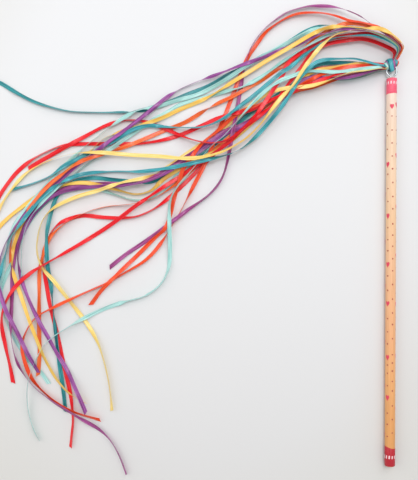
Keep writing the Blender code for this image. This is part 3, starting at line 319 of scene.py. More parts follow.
# =============================================================== materials
def satin(name, base, light, shade, seed):
    """Double-faced satin: long floats of yarn across fine ribs, a bound edge, a
    soft gloss, and slow streaks of painted shade and painted highlight along it."""
    m, nt, b = new_material(name)
    uv = nt.nodes.new("ShaderNodeUVMap")
    uv.uv_map = "weave"
    sep = nt.nodes.new("ShaderNodeSeparateXYZ")
    nt.links.new(uv.outputs[0], sep.inputs[0])
    u, v = sep.outputs[0], sep.outputs[1]          # u across 0..1, v along in mm
    ribs = math_node(nt, "SINE", math_node(nt, "MULTIPLY", v, 2 * math.pi / 0.22))
    yarn = math_node(nt, "SINE", math_node(nt, "MULTIPLY", u, 2 * math.pi * 20.0))
    edge = math_node(nt, "ABSOLUTE", math_node(nt, "SUBTRACT", u, 0.5))
    edge = math_node(nt, "GREATER_THAN", edge, 0.455)
    # painted shade and painted highlight: slow streaks along the ribbon, darker and lighter
    comb = nt.nodes.new("ShaderNodeCombineXYZ")
    nt.links.new(math_node(nt, "MULTIPLY", u, 5.0), comb.inputs[0])
    nt.links.new(math_node(nt, "MULTIPLY", v, 0.035), comb.inputs[1])
    comb.inputs[2].default_value = seed * 3.7
    painted_sheen_streak = node(nt, "ShaderNodeTexNoise", Scale=1.6, Detail=3.0, Roughness=0.55)
    nt.links.new(comb.outputs[0], painted_sheen_streak.inputs["Vector"])
    ramp = nt.nodes.new("ShaderNodeValToRGB")
    ramp.color_ramp.elements[0].position = 0.37
    ramp.color_ramp.elements[1].position = 0.65
    nt.links.new(painted_sheen_streak.outputs[0], ramp.inputs[0])
    # painted shade: the base colour darkened, mixed along the streaks with the painted highlight colour
    dark = tuple(c * k for c, k in zip(base, shade))
    col = mix_rgb(nt, ramp.outputs[0], dark, light)
    col = mix_rgb(nt, 0.32, col, base)
    fine = math_node(nt, "MULTIPLY_ADD", yarn, 0.035, 0.965)
    fine = math_node(nt, "MULTIPLY", fine, math_node(nt, "MULTIPLY_ADD", ribs, 0.03, 0.97))
    fine = math_node(nt, "SUBTRACT", fine, math_node(nt, "MULTIPLY", edge, 0.10))
    g = nt.nodes.new("ShaderNodeCombineColor")
    for i in range(3):
        nt.links.new(fine, g.inputs[i])
    col = mix_rgb(nt, 1.0, col, g.outputs[0], "MULTIPLY")
    nt.links.new(col, b.inputs["Base Color"])
    rough = math_node(nt, "MULTIPLY_ADD", painted_sheen_streak.outputs[0], 0.14, 0.22)
    rough = math_node(nt, "ADD", rough, math_node(nt, "MULTIPLY", edge, 0.12))
    nt.links.new(rough, b.inputs["Roughness"])
    h = math_node(nt, "ADD", math_node(nt, "MULTIPLY", ribs, 0.5), math_node(nt, "MULTIPLY", yarn, 0.35))
    h = math_node(nt, "ADD", h, math_node(nt, "MULTIPLY", edge, 1.2))
    bump = node(nt, "ShaderNodeBump", Strength=0.35, Distance=0.00002)
    nt.links.new(h, bump.inputs["Height"])
    nt.links.new(bump.outputs[0], b.inputs["Normal"])
    b.inputs["Sheen Weight"].default_value = 0.24
    b.inputs["Sheen Roughness"].default_value = 0.35
    b.inputs["Sheen Tint"].default_value = (*light, 1.0)
    b.inputs["Specular IOR Level"].default_value = 0.42
    return m


def wood_material():
    m, nt, b = new_material("birch_wood_look")
    tc = nt.nodes.new("ShaderNodeTexCoord")
    mp = nt.nodes.new("ShaderNodeMapping")
    mp.inputs["Scale"].default_value = (900.0, 26.0, 900.0)
    nt.links.new(tc.outputs["Object"], mp.inputs[0])
    grain = node(nt, "ShaderNodeTexNoise", Scale=1.0, Detail=6.0, Roughness=0.62, Distortion=0.6)
    nt.links.new(mp.outputs[0], grain.inputs["Vector"])
    mp2 = nt.nodes.new("ShaderNodeMapping")
    mp2.inputs["Scale"].default_value = (2600.0, 160.0, 2600.0)
    nt.links.new(tc.outputs["Object"], mp2.inputs[0])
    pores = node(nt, "ShaderNodeTexNoise", Scale=1.0, Detail=2.0, Roughness=0.5)
    nt.links.new(mp2.outputs[0], pores.inputs["Vector"])
    pore = nt.nodes.new("ShaderNodeValToRGB")
    pore.color_ramp.elements[0].position = 0.64
    pore.color_ramp.elements[1].position = 0.74
    nt.links.new(pores.outputs[0], pore.inputs[0])
    sep = nt.nodes.new("ShaderNodeSeparateXYZ")
    nt.links.new(tc.outputs["Object"], sep.inputs[0])
    along = math_node(nt, "MULTIPLY_ADD", sep.outputs[1], 1 / 0.3048, 0.517)   # 0 at the butt, 1 at the eye
    # painted light over the wood's own colour: the stick is painted paler towards the eye end, where the light falls
    # stronger, and deeper orange towards the butt
    wood_tone_and_painted_light = nt.nodes.new("ShaderNodeValToRGB")
    cr = wood_tone_and_painted_light.color_ramp
    cr.elements[0].position = 0.0
    cr.elements[0].color = (*srgb(225, 159, 90), 1)
    cr.elements[1].position = 0.95
    cr.elements[1].color = (*srgb(244, 218, 202), 1)
    for pos, c in ((0.12, (230, 164, 101)), (0.223, (235, 172, 112)), (0.326, (237, 174, 124)),
                   (0.428, (239, 181, 135)), (0.53, (239, 189, 148)), (0.634, (240, 198, 156)),
                   (0.735, (241, 206, 173)), (0.84, (241, 211, 183))):
        e = cr.elements.new(pos)
        e.color = (*srgb(*c), 1)
    nt.links.new(along, wood_tone_and_painted_light.inputs[0])
    line = nt.nodes.new("ShaderNodeValToRGB")
    line.color_ramp.elements[0].position = 0.35
    line.color_ramp.elements[0].color = (0.80, 0.74, 0.66, 1)
    line.color_ramp.elements[1].position = 0.62
    line.color_ramp.elements[1].color = (1, 1, 1, 1)
    nt.links.new(grain.outputs[0], line.inputs[0])
    col = mix_rgb(nt, 0.55, wood_tone_and_painted_light.outputs[0], line.outputs[0], "MULTIPLY")
    col = mix_rgb(nt, math_node(nt, "MULTIPLY", pore.outputs[0], 0.20), col, srgb(196, 130, 84))
    nt.links.new(col, b.inputs["Base Color"])
    nt.links.new(math_node(nt, "MULTIPLY_ADD", grain.outputs[0], 0.25, 0.40), b.inputs["Roughness"])
    bump = node(nt, "ShaderNodeBump", Strength=0.25, Distance=0.00008)
    nt.links.new(grain.outputs[0], bump.inputs["Height"])
    nt.links.new(bump.outputs[0], b.inputs["Normal"])
    return m


def paper_material(name, colour, dark):
    """Marker-red paper tape: fine fibres, faint strokes of ink along the wrap."""
    m, nt, b = new_material(name)
    tc = nt.nodes.new("ShaderNodeTexCoord")
    mp = nt.nodes.new("ShaderNodeMapping")
    mp.inputs["Scale"].default_value = (350.0, 1500.0, 350.0)
    nt.links.new(tc.outputs["Object"], mp.inputs[0])
    strokes = node(nt, "ShaderNodeTexNoise", Scale=1.0, Detail=4.0, Roughness=0.6)
    nt.links.new(mp.outputs[0], strokes.inputs["Vector"])
    fibres = node(nt, "ShaderNodeTexNoise", Scale=9000.0, Detail=3.0, Roughness=0.7)
    nt.links.new(tc.outputs["Object"], fibres.inputs["Vector"])
    col = mix_rgb(nt, math_node(nt, "MULTIPLY", strokes.outputs[0], 0.9), dark, colour)
    nt.links.new(col, b.inputs["Base Color"])
    nt.links.new(math_node(nt, "MULTIPLY_ADD", fibres.outputs[0], 0.25, 0.32), b.inputs["Roughness"])
    bump = node(nt, "ShaderNodeBump", Strength=0.3, Distance=0.00003)
    nt.links.new(fibres.outputs[0], bump.inputs["Height"])
    nt.links.new(bump.outputs[0], b.inputs["Normal"])
    return m


def ink_material(name, colour, dark):
    m, nt, b = new_material(name)
    tc = nt.nodes.new("ShaderNodeTexCoord")
    n = node(nt, "ShaderNodeTexNoise", Scale=2600.0, Detail=3.0, Roughness=0.6)
    nt.links.new(tc.outputs["Object"], n.inputs["Vector"])
    nt.links.new(mix_rgb(nt, n.outputs[0], dark, colour), b.inputs["Base Color"])
    nt.links.new(math_node(nt, "MULTIPLY_ADD", n.outputs[0], 0.2, 0.38), b.inputs["Roughness"])
    return m


def steel_material():
    """Bright zinc plating with faint drawing lines and a little tarnish."""
    m, nt, b = new_material("plated_steel_look")
    tc = nt.nodes.new("ShaderNodeTexCoord")
    n = node(nt, "ShaderNodeTexNoise", Scale=420.0, Detail=5.0, Roughness=0.6)
    nt.links.new(tc.outputs["Object"], n.inputs["Vector"])
    f = node(nt, "ShaderNodeTexNoise", Scale=5200.0, Detail=2.0, Roughness=0.5)
    nt.links.new(tc.outputs["Object"], f.inputs["Vector"])
    nt.links.new(mix_rgb(nt, n.outputs[0], (0.36, 0.38, 0.40), (0.60, 0.62, 0.64)), b.inputs["Base Color"])
    nt.links.new(math_node(nt, "MULTIPLY_ADD", n.outputs[0], 0.18, 0.26), b.inputs["Roughness"])
    bump = node(nt, "ShaderNodeBump", Strength=0.12, Distance=0.00002)
    nt.links.new(f.outputs[0], bump.inputs["Height"])
    nt.links.new(bump.outputs[0], b.inputs["Normal"])
    b.inputs["Metallic"].default_value = 1.0
    return m


# each colour: the satin's own colour, then the lighter colour of its painted highlight streaks
SATIN_RGB = {
    "red": (srgb(250, 8, 26), srgb(255, 50, 62)),
    "orange": (srgb(255, 60, 14), srgb(255, 116, 64)),
    "yellow": (srgb(255, 220, 108), srgb(255, 244, 176)),
    "mint": (srgb(154, 222, 214), srgb(222, 252, 248)),
    "teal": (srgb(10, 116, 122), srgb(76, 192, 196)),
    "purple": (srgb(152, 50, 116), srgb(212, 112, 190)),
}
# one ribbon of a pair comes off another reel, a shade apart
SECOND = {
    "yellow_2": (srgb(255, 204, 84), srgb(255, 228, 136)),
    "teal_1": (srgb(20, 140, 152), srgb(110, 216, 226)),
    "purple_2": (srgb(138, 52, 130), srgb(204, 120, 208)),
    "orange_2": (srgb(255, 96, 34), srgb(255, 142, 76)),
}
# painted shade: how dark the satin is painted in its darker streaks, as where its floats lean away from the light
SHADE = {
    "red": (0.64, 0.50, 0.50), "orange": (0.74, 0.56, 0.50), "yellow": (0.90, 0.74, 0.56),
    "mint": (0.52, 0.62, 0.62), "teal": (0.42, 0.46, 0.50), "purple": (0.40, 0.36, 0.42),
}
SATIN = {}


def satin_for(colour, number):
    key = f"{colour}_{number}"
    if key not in SATIN:
        base, light = SECOND.get(key, SATIN_RGB[colour])
        SATIN[key] = satin("satin_" + key, base, light, SHADE[colour], len(SATIN) + 1)
    return SATIN[key]


# =============================================================== ribbon geometry
def smooth_route(points, step=0.5):
    p = np.array(points, float)
    p = np.vstack([2 * p[0] - p[1], p, 2 * p[-1] - p[-2]])
    out = []
    for i in range(1, len(p) - 2):
        a, b, c, d = p[i - 1], p[i], p[i + 1], p[i + 2]
        t0 = 0.0
        t1 = t0 + max(np.linalg.norm(b - a), 1e-6) ** 0.5
        t2 = t1 + max(np.linalg.norm(c - b), 1e-6) ** 0.5
        t3 = t2 + max(np.linalg.norm(d - c), 1e-6) ** 0.5
        for t in np.linspace(t1, t2, 24, endpoint=False):
            a1 = (t1 - t) / (t1 - t0) * a + (t - t0) / (t1 - t0) * b
            a2 = (t2 - t) / (t2 - t1) * b + (t - t1) / (t2 - t1) * c
            a3 = (t3 - t) / (t3 - t2) * c + (t - t2) / (t3 - t2) * d
            b1 = (t2 - t) / (t2 - t0) * a1 + (t - t0) / (t2 - t0) * a2
            b2 = (t3 - t) / (t3 - t1) * a2 + (t - t1) / (t3 - t1) * a3
            out.append((t2 - t) / (t2 - t1) * b1 + (t - t1) / (t2 - t1) * b2)
    out.append(p[-2])
    q = np.array(out)
    s = np.concatenate([[0], np.cumsum(np.linalg.norm(np.diff(q, axis=0), axis=1))])
    n = max(2, int(round(s[-1] / step)) + 1)
    at = np.linspace(0, s[-1], n)
    q = np.column_stack([np.interp(at, s, q[:, 0]), np.interp(at, s, q[:, 1])])
    k = np.ones(9) / 9.0
    for _ in range(3):
        pad = np.vstack([2 * q[0] - q[4:0:-1], q, 2 * q[-1] - q[-2:-6:-1]])
        q = np.column_stack([np.convolve(pad[:, j], k, "valid") for j in (0, 1)])
    return q


def sideways(q):
    t = np.gradient(q, axis=0)
    t /= np.linalg.norm(t, axis=1)[:, None]
    return np.column_stack([-t[:, 1], t[:, 0]])


def smoothstep(x):
    x = np.clip(x, 0.0, 1.0)
    return x * x * (3 - 2 * x)


def box_filter(a, half):
    k = np.ones(2 * half + 1) / (2 * half + 1)
    return np.convolve(np.pad(a, half, "edge"), k, "valid")


def max_filter(a, half):
    p = np.pad(a, half, "edge")
    return np.max([p[i:i + len(a)] for i in range(2 * half + 1)], axis=0)


def from_the_knot(name, pts):
    """The route with the hidden start it has inside the knot."""
    a = np.array(pts[0])
    b = np.array((1.4, 160.0) if "_upper_" in name else (-2.6, 157.0))
    return [tuple(b), tuple(a * 0.55 + b * 0.45)] + list(pts)


def roll_of(name, q, rng):
    """How far the ribbon is turned about its own length at each point."""
    n = len(q)
    s = np.arange(n) * 0.5
    upper = "_upper_" in name
    near = rng.uniform(0.15, 0.50) if upper else rng.uniform(0.1, 0.45)
    near = NEAR_ROLL.get(name, near)
    near = near * (1 - smoothstep((s - 55) / 60.0)) if upper else near * (1 - smoothstep((s - 42) / 46.0))
    wob = sum(rng.uniform(0.10, 0.26) * np.sin(2 * math.pi * s / w + rng.uniform(0, 6.28))
              for w in (38.0, 63.0, 104.0))
    calm = 70.0 if name in NEAR_ROLL else 30.0
    roll = near + wob * smoothstep(s / calm)
    turning = np.zeros(n)
    on_edge = np.zeros(n)
    flips = np.zeros(n)
    sign = 1.0 if rng.random() < 0.5 else -1.0
    for x, y, half, kind in TWISTS.get(name, []):
        i = int(np.argmin(((q - (x, y)) ** 2).sum(1)))
        d = (s - s[i]) / half
        if kind == "turn":
            turning = np.maximum(turning, smoothstep((d + 1) * 2.2) * smoothstep((1 - d) * 2.2))
            flips = flips + sign * math.pi * smoothstep(d * 0.5 + 0.5)
            sign = -sign
        else:
            peak, ramp = {"edge": (1.40, 1.6), "narrow": (1.12, 1.3), "slim": (0.80, 1.2)}[kind]
            on_edge = np.maximum(on_edge, peak * smoothstep((d + 1) * ramp) * smoothstep((1 - d) * ramp))
    turning = np.maximum(turning, on_edge / 1.4)
    roll = roll * (1 - on_edge / 1.5) + on_edge + flips
    return roll, turning


def lift(name, s):
    if "_upper_" in name:
        rise = smoothstep(s / 30.0)
        return (1.8 + 3.4 * rise) * (1.0 - smoothstep((s - 34.0) / 92.0))
    return 2.4 * (1.0 - smoothstep(s / 34.0))


# ribbons whose turn near the knot is known, in radians
NEAR_ROLL = {
    "ribbon_red_1_upper_tail": 0.05, "ribbon_teal_1_lower_tail": 0.0, "ribbon_mint_1_lower_tail": 0.1,
    "ribbon_purple_1_lower_tail": 1.0, "ribbon_purple_2_lower_tail": 0.95, "ribbon_yellow_1_lower_tail": 1.12,
    "ribbon_orange_1_upper_tail": 0.4, "ribbon_yellow_2_upper_tail": 0.1, "ribbon_orange_2_upper_tail": 0.2,
    "ribbon_teal_2_upper_tail": 0.8, "ribbon_yellow_1_upper_tail": 1.22, "ribbon_teal_1_upper_tail": 0.95,
    "ribbon_purple_2_upper_tail": 0.7, "ribbon_mint_1_upper_tail": 0.95, "ribbon_mint_2_upper_tail": 1.0,
    "ribbon_red_2_upper_tail": 0.05,
}
# ribbons that weave back up to the top of the bundle: where (mm), and how far
# to each side; the place of a stretch that starts at the knot is None
COME_UP = {
    "ribbon_yellow_1_lower_tail": [(None, 84.0), ((-235.0, 71.0), 36.0)],
    "ribbon_orange_2_upper_tail": [(None, 46.0), ((-272.0, 82.0), 38.0)],
    "ribbon_orange_1_upper_tail": [(None, 56.0)], "ribbon_yellow_2_upper_tail": [(None, 98.0)],
}

THICK = 0.17
CELL = 0.4
GX0, GY0 = -350.0, -190.0
GRID = np.zeros((int(390 / CELL), int(410 / CELL)))


def lay_ribbon(name, pts, rng, earlier=None):
    """Lay one ribbon over what already lies there. Returns its centreline and
    its roll, every half millimetre. One that weaves back up is laid
    twice: first what stays in its own turn, and last the stretches on top."""
    q = smooth_route(from_the_knot(name, pts))
    side = sideways(q)
    s = np.arange(len(q)) * 0.5
    roll, turning = roll_of(name, q, rng)

    def under(k):
        p = q + side * (HALF * k)
        return GRID[((p[:, 0] - GX0) / CELL).astype(int), ((p[:, 1] - GY0) / CELL).astype(int)]

    left = np.maximum(under(-1.0), under(-0.6))       # it leans the way the pile leans
    right = np.maximum(under(1.0), under(0.6))
    lean = np.arctan2(right - left, 1.6 * HALF)
    lean = np.clip(box_filter(box_filter(lean, 9), 9), -0.75, 0.75)
    roll = roll + lean * (1 - 0.8 * turning) * np.cos(roll) ** 2
    c, sn = np.cos(roll), np.sin(roll)
    need = np.full(len(q), -9.0)
    for k in np.linspace(-1, 1, 9):
        p = q + side * (c * HALF * k)[:, None]
        ix = ((p[:, 0] - GX0) / CELL).astype(int)
        iy = ((p[:, 1] - GY0) / CELL).astype(int)
        need = np.maximum(need, GRID[ix, iy] + 0.05 + THICK / 2 - sn * HALF * k)
    need = np.maximum(need, lift(name, s) + 0.12 + np.abs(sn) * HALF)
    inside = np.full(len(q), -1e3)
    for at, half in COME_UP.get(name, []):
        centre = 0.0 if at is None else s[int(np.argmin(((q - at) ** 2).sum(1)))]
        inside = np.maximum(inside, half - np.abs(s - centre))
    if earlier is not None:
        w = smoothstep(inside / 16)
        need = need * w + earlier[0][:, 2] * (1 - w)
        roll = roll * w + earlier[1] * (1 - w)
        c, sn = np.cos(roll), np.sin(roll)
    need = np.minimum(need, 12.3)
    z = max_filter(need, 12)
    for i in range(1, len(z)):                     # long low humps
        z[i] = max(z[i], z[i - 1] - 0.075)
    for i in range(len(z) - 2, -1, -1):
        z[i] = max(z[i], z[i + 1] - 0.075)
    z = box_filter(box_filter(z, 6), 6)
    out = smoothstep(s / 11.0)                     # out of the middle of the knot
    z0 = KNOT_C[2] + rng.uniform(-1.3, 1.3)
    z = z0 * (1 - out) + z * out
    if name in COME_UP and earlier is None:
        return np.column_stack([q, z]), roll, inside > 8
    put_down(q, z, side, c, sn)
    return np.column_stack([q, z]), roll, None


def put_down(q, z, side, c, sn):
    """Add a stretch of ribbon to the pile's height map."""
    for k in np.linspace(-1, 1, 11):
        for f in (0.0, 0.5):
            zz = z[:-1] * (1 - f) + z[1:] * f + sn[:-1] * HALF * k + THICK / 2
            p = q[:-1] * (1 - f) + q[1:] * f + side[:-1] * (c[:-1] * HALF * k)[:, None]
            ix = ((p[:, 0] - GX0) / CELL).astype(int)
            iy = ((p[:, 1] - GY0) / CELL).astype(int)
            np.maximum.at(GRID, (ix, iy), zz)


# positions across the ribbon, and its half thickness there: a bound edge is thicker
ACROSS = np.array([-1.0, -0.94, -0.80, -0.42, 0.0, 0.42, 0.80, 0.94, 1.0])
HALF_T = np.array([0.045, 0.105, 0.078, 0.075, 0.075, 0.075, 0.078, 0.105, 0.045])


def strip_mesh(name, line, roll, cup, shear0=0.0, shear1=0.0, width=RIBBON_W, closed=False, grow=None):
    """A closed flat strip along line (mm) with the given roll at each point."""
    n, m = len(line), len(ACROSS)
    t = np.gradient(line, axis=0)
    if closed:
        t = (np.roll(line, -1, 0) - np.roll(line, 1, 0))
    t /= np.linalg.norm(t, axis=1)[:, None]
    up = np.array((0.0, 0.0, 1.0))
    if closed:
        lat = np.repeat(np.array(closed, float)[None], n, 0)
        lat -= (lat * t).sum(1)[:, None] * t
    else:
        lat = np.cross(up[None], t)
    lat /= np.linalg.norm(lat, axis=1)[:, None]
    nor = np.cross(t, lat)
    u = lat * np.cos(roll)[:, None] + nor * np.sin(roll)[:, None]
    w = np.cross(t, u)
    s = np.concatenate([[0], np.cumsum(np.linalg.norm(np.diff(line, axis=0), axis=1))])
    h = width / 2
    verts, uvs = [], []
    order = [(j, 1) for j in range(m)] + [(j, -1) for j in range(m - 1, -1, -1)]
    for i in range(n):
        g = 1.0 if grow is None else grow[i]
        for j, sgn in order:
            a = ACROSS[j]
            p = (line[i] + u[i] * h * a * g
                 + w[i] * (sgn * HALF_T[j] + cup[i] * (a * a - 0.33)))
            if not closed and i == 0 and shear0:
                p = p + t[i] * shear0 * a
            if not closed and i == n - 1 and shear1:
                p = p + t[i] * shear1 * a
            verts.append(p * MM)
            uvs.append((0.5 + a / 2, s[i]))
    r = len(order)
    faces = []
    last = n if closed else n - 1
    for i in range(last):
        for j in range(r):
            a, b = i * r + j, i * r + (j + 1) % r
            c2, d = ((i + 1) % n) * r + (j + 1) % r, ((i + 1) % n) * r + j
            faces.append((a, b, c2, d))
    if not closed:
        faces.append(tuple(range(r - 1, -1, -1)))
        faces.append(tuple((n - 1) * r + j for j in range(r)))
    me = bpy.data.meshes.new(name)
    me.from_pydata([tuple(v) for v in verts], [], faces)
    layer = me.uv_layers.new(name="weave")
    vi = np.empty(len(me.loops), int)
    me.loops.foreach_get("vertex_index", vi)
    layer.data.foreach_set("uv", np.array(uvs, np.float32)[vi].ravel())
    bm = bmesh.new()
    bm.from_mesh(me)
    bmesh.ops.recalc_face_normals(bm, faces=bm.faces)
    bm.to_mesh(me)
    bm.free()
    me.shade_smooth()
    me.set_sharp_from_angle(angle=math.radians(50))
    ob = bpy.data.objects.new(name, me)
    bpy.context.scene.collection.objects.link(ob)
    return ob


# =============================================================== the ribbons' tails
KNOT_CAD = "ribbon_knot"
LAID = {}
for idx, (name, pts) in enumerate(ROUTES.items()):
    line, roll, free = lay_ribbon(name, pts, np.random.default_rng(100 + idx))
    if free is not None:
        side = sideways(line[:, :2])
        cuts = np.flatnonzero(np.diff(free.astype(int))) + 1
        for part in np.split(np.arange(len(free)), cuts):
            if not free[part[0]] and len(part) > 1:
                put_down(line[part, :2], line[part, 2], side[part], np.cos(roll[part]), np.sin(roll[part]))
    LAID[name] = (idx, line, roll)
for name in COME_UP:
    idx, line, roll = LAID[name]
    line, roll, _ = lay_ribbon(name, ROUTES[name], np.random.default_rng(100 + idx), (line, roll))
    LAID[name] = (idx, line, roll)
for name, (idx, line, roll) in LAID.items():
    rng = np.random.default_rng(300 + idx)
    keep = np.arange(0, len(line), 3)
    if keep[-1] != len(line) - 1:
        keep = np.append(keep, len(line) - 1)
    line, roll = line[keep], roll[keep]
    s = np.concatenate([[0], np.cumsum(np.linalg.norm(np.diff(line, axis=0), axis=1))])
    cup = 0.16 * np.sin(2 * math.pi * s / rng.uniform(60, 120) + rng.uniform(0, 6.28))
    ob = strip_mesh(name.replace("_tail", "_satin"), line, roll, cup,
                    shear1=rng.choice([-1.3, -0.7, 0.5, 1.1]))
    _, colour, number, _, _ = name.split("_")
    ob.data.materials.append(satin_for(colour, number))
    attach(ob, "ribbons")
    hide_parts(name)


# =============================================================== the knot
def knot_core():
    """The gathered middle of the knot, bent round the ring's wire."""
    verts, faces, uvs = [], [], []
    nu, nv = 36, 28
    for i in range(nu + 1):
        w = -1 + 2 * i / nu
        phi = math.radians(-12 + 53 * w)
        g = max(0.0, 1 - w * w) ** 0.6
        for j in range(nv):
            a = 2 * math.pi * j / nv
            f = 1 + 0.05 * math.sin(5 * a + 7 * w) + 0.04 * math.sin(9 * a - 11 * w)
            rho = 5.3 + 1.7 * max(0.0, w) ** 2 + 3.3 * g * f * math.cos(a)
            z = 4.3 + 2.6 * g * f * math.sin(a)
            verts.append((rho * math.sin(phi) * MM, (RING_Y + rho * math.cos(phi)) * MM, z * MM))
            uvs.append((j / nv * 2 % 1.0, i * 0.35))
    for i in range(nu):
        for j in range(nv):
            k = (j + 1) % nv
            faces.append((i * nv + j, i * nv + k, (i + 1) * nv + k, (i + 1) * nv + j))
    me = bpy.data.meshes.new("knot_core")
    me.from_pydata(verts, [], faces)
    layer = me.uv_layers.new(name="weave")
    for lp in me.loops:
        layer.data[lp.index].uv = uvs[lp.vertex_index]
    bm = bmesh.new()
    bm.from_mesh(me)
    bmesh.ops.remove_doubles(bm, verts=bm.verts, dist=0.00001)
    bmesh.ops.recalc_face_normals(bm, faces=bm.faces)
    bm.to_mesh(me)
    bm.free()
    me.shade_smooth()
    ob = bpy.data.objects.new("knot_core", me)
    bpy.context.scene.collection.objects.link(ob)
    return ob


core = knot_core()
core.data.materials.append(satin_for("teal", 2))
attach(core, "ribbons")
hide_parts(KNOT_CAD)

# turns round the ring's wire: place round the ring (degrees from the top), inner and
# outer distance from the ring's middle, half height, slant, width, colour, number
TURNS = [
    (-56, 2.9, 7.3, 2.2, 9, 2.7, "mint", 1),
    (-43, 2.2, 8.3, 2.7, 3, 3.0, "mint", 2),
    (31, 5.1, 9.2, 2.2, -4, 2.8, "orange", 1),
    (34, 5.9, 8.6, 1.4, 3, 2.5, "orange", 1),
    (22, 4.6, 9.5, 2.6, -10, 3.0, "teal", 1),
    (-31, 1.4, 9.2, 2.95, 10, 2.6, "purple", 2),
    (9, 0.9, 9.7, 3.1, -14, 2.5, "purple", 1),
    (-23, 0.7, 9.6, 3.25, 7, 3.2, "teal", 2),
    (-11, -0.4, 10.0, 3.5, -1, 3.2, "teal", 1),
]
for i, (phi, r_in, r_out, hz, slant, width, colour, number) in enumerate(TURNS):
    rng = np.random.default_rng(500 + i)
    a = np.linspace(0, 2 * math.pi, 64, endpoint=False)
    f = math.radians(phi)
    radial = np.array((math.sin(f), math.cos(f), 0.0))
    along = np.array((math.cos(f), -math.sin(f), 0.0))
    half = (r_out - r_in) / 2
    wob = 1 + 0.025 * np.sin(3 * a + rng.uniform(0, 6)) + 0.015 * np.sin(5 * a + rng.uniform(0, 6))
    rr = half * wob * np.cos(a)
    zz = hz * wob * np.sign(np.sin(a)) * np.abs(np.sin(a)) ** 0.9
    line = (np.array((0.0, RING_Y, 4.3))[None] + radial[None] * ((r_in + r_out) / 2 + rr)[:, None]
            + np.array((0.0, 0.0, 1.0))[None] * zz[:, None]
            + along[None] * (rr * math.tan(math.radians(slant)) + 0.15 * np.sin(2 * a + i))[:, None])
    line[:, 2] = np.maximum(line[:, 2], 0.45)
    ob = strip_mesh(f"knot_turn_{i + 1}", line, 0.10 * np.sin(2 * a + rng.uniform(0, 6)),
                    np.full(len(line), -0.24), width=width, closed=tuple(along))
    ob.data.materials.append(satin_for(colour, number))
    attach(ob, "ribbons")
    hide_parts(KNOT_CAD)


# =============================================================== the stick
def lathe_y(name, profile, segments=96):
    """A solid turned about the stick's axis. profile: (radius, y) from the eye end to the butt."""
    bm = bmesh.new()
    rings = []
    for r, y in profile:
        if r < 1e-6:
            rings.append([bm.verts.new((0.0, y * MM, AXIS_Z * MM))])
        else:
            rings.append([bm.verts.new((r * MM * math.sin(2 * math.pi * i / segments), y * MM,
                                        AXIS_Z * MM + r * MM * math.cos(2 * math.pi * i / segments)))
                          for i in range(segments)])
    for a, b in zip(rings, rings[1:]):
        for i in range(segments):
            j = (i + 1) % segments
            if len(a) == 1 and len(b) > 1:
                bm.faces.new((a[0], b[i], b[j]))
            elif len(b) == 1 and len(a) > 1:
                bm.faces.new((a[i], b[0], a[j]))
            elif len(a) > 1:
                bm.faces.new((a[i], b[i], b[j], a[j]))
    bmesh.ops.recalc_face_normals(bm, faces=bm.faces)
    me = bpy.data.meshes.new(name)
    bm.to_mesh(me)
    bm.free()
    me.shade_smooth()
    me.set_sharp_from_angle(angle=math.radians(40))
    ob = bpy.data.objects.new(name, me)
    bpy.context.scene.collection.objects.link(ob)
    return ob


top = EYE_END_Y
profile = [(0.0, top - 15.6), (1.15, top - 14.8), (1.15, top - 0.25), (1.32, top - 0.04), (1.5, top)]
for i in range(7):
    a = math.pi / 2 * i / 6
    profile.append((DOWEL_R - 0.45 + 0.45 * math.sin(a), top - 0.45 + 0.45 * math.cos(a)))
for i in range(1, 24):
    profile.append((DOWEL_R, top - 0.45 - (304.8 - 1.05) * i / 24))
for i in range(7):
    a = math.pi / 2 * i / 6
    profile.append((DOWEL_R - 0.6 + 0.6 * math.cos(a), BUTT_Y + 0.6 - 0.6 * math.sin(a)))
profile.append((0.0, BUTT_Y))
stick = lathe_y("dowel_wood", profile)
stick.data.materials.append(wood_material())
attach(stick, "stick")
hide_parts("dowel_stick")


def paper_band(name, y0, y1, slant_low, slant_high, seam, mat, node_name):
    """A strip of paper wrapped once round the stick, its end lapped over its start."""
    n = 150
    lap = 0.30
    rng = np.random.default_rng(len(name) + 7)
    ph = rng.uniform(0, 6.28, 4)
    bm = bmesh.new()
    rows = []
    for i in range(n + 1):
        th = (2 * math.pi + lap) * i / n
        ri = 3.965 + 0.10 * th / (2 * math.pi) * smoothstep((th - 2 * math.pi + 0.5) / 0.5) + 0.004
        ro = ri + 0.085
        ang = seam + th
        lo = y0 + slant_low * math.sin(ang + 0.3) + 0.05 * math.sin(5 * th + ph[0]) + 0.03 * math.sin(13 * th + ph[1])
        hi = y1 + slant_high * math.sin(ang + 0.3) + 0.05 * math.sin(4 * th + ph[2]) + 0.03 * math.sin(11 * th + ph[3])
        row = []
        for r, y in ((ri, lo), (ro - 0.02, lo), (ro, lo + 0.03), (ro, hi - 0.03), (ro - 0.02, hi), (ri, hi)):
            row.append(bm.verts.new((r * MM * math.sin(ang), y * MM, AXIS_Z * MM + r * MM * math.cos(ang))))
        rows.append(row)
    for a, b in zip(rows, rows[1:]):
        for j in range(6):
            k = (j + 1) % 6
            bm.faces.new((a[j], a[k], b[k], b[j]))
    bm.faces.new(rows[0])
    bm.faces.new(rows[-1][::-1])
    bmesh.ops.recalc_face_normals(bm, faces=bm.faces)
    me = bpy.data.meshes.new(name)
    bm.to_mesh(me)
    bm.free()
    me.shade_smooth()
    me.set_sharp_from_angle(angle=math.radians(35))
    ob = bpy.data.objects.new(name, me)
    bpy.context.scene.collection.objects.link(ob)
    ob.data.materials.append(mat)
    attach(ob, "stick")
    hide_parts(node_name)
    return ob


paper_band("eye_band_paper", EYE_END_Y - 12.35, EYE_END_Y - 0.25, 0.35, 0.12, math.radians(130),
           paper_material("eye_band_red", srgb(250, 118, 142), srgb(232, 62, 92)), "eye_end_band")
paper_band("butt_band_paper", BUTT_Y + 0.35, BUTT_Y + 15.0, 0.12, -1.0, math.radians(215),
           paper_material("butt_band_red", srgb(210, 38, 54), srgb(160, 20, 36)), "butt_end_band")


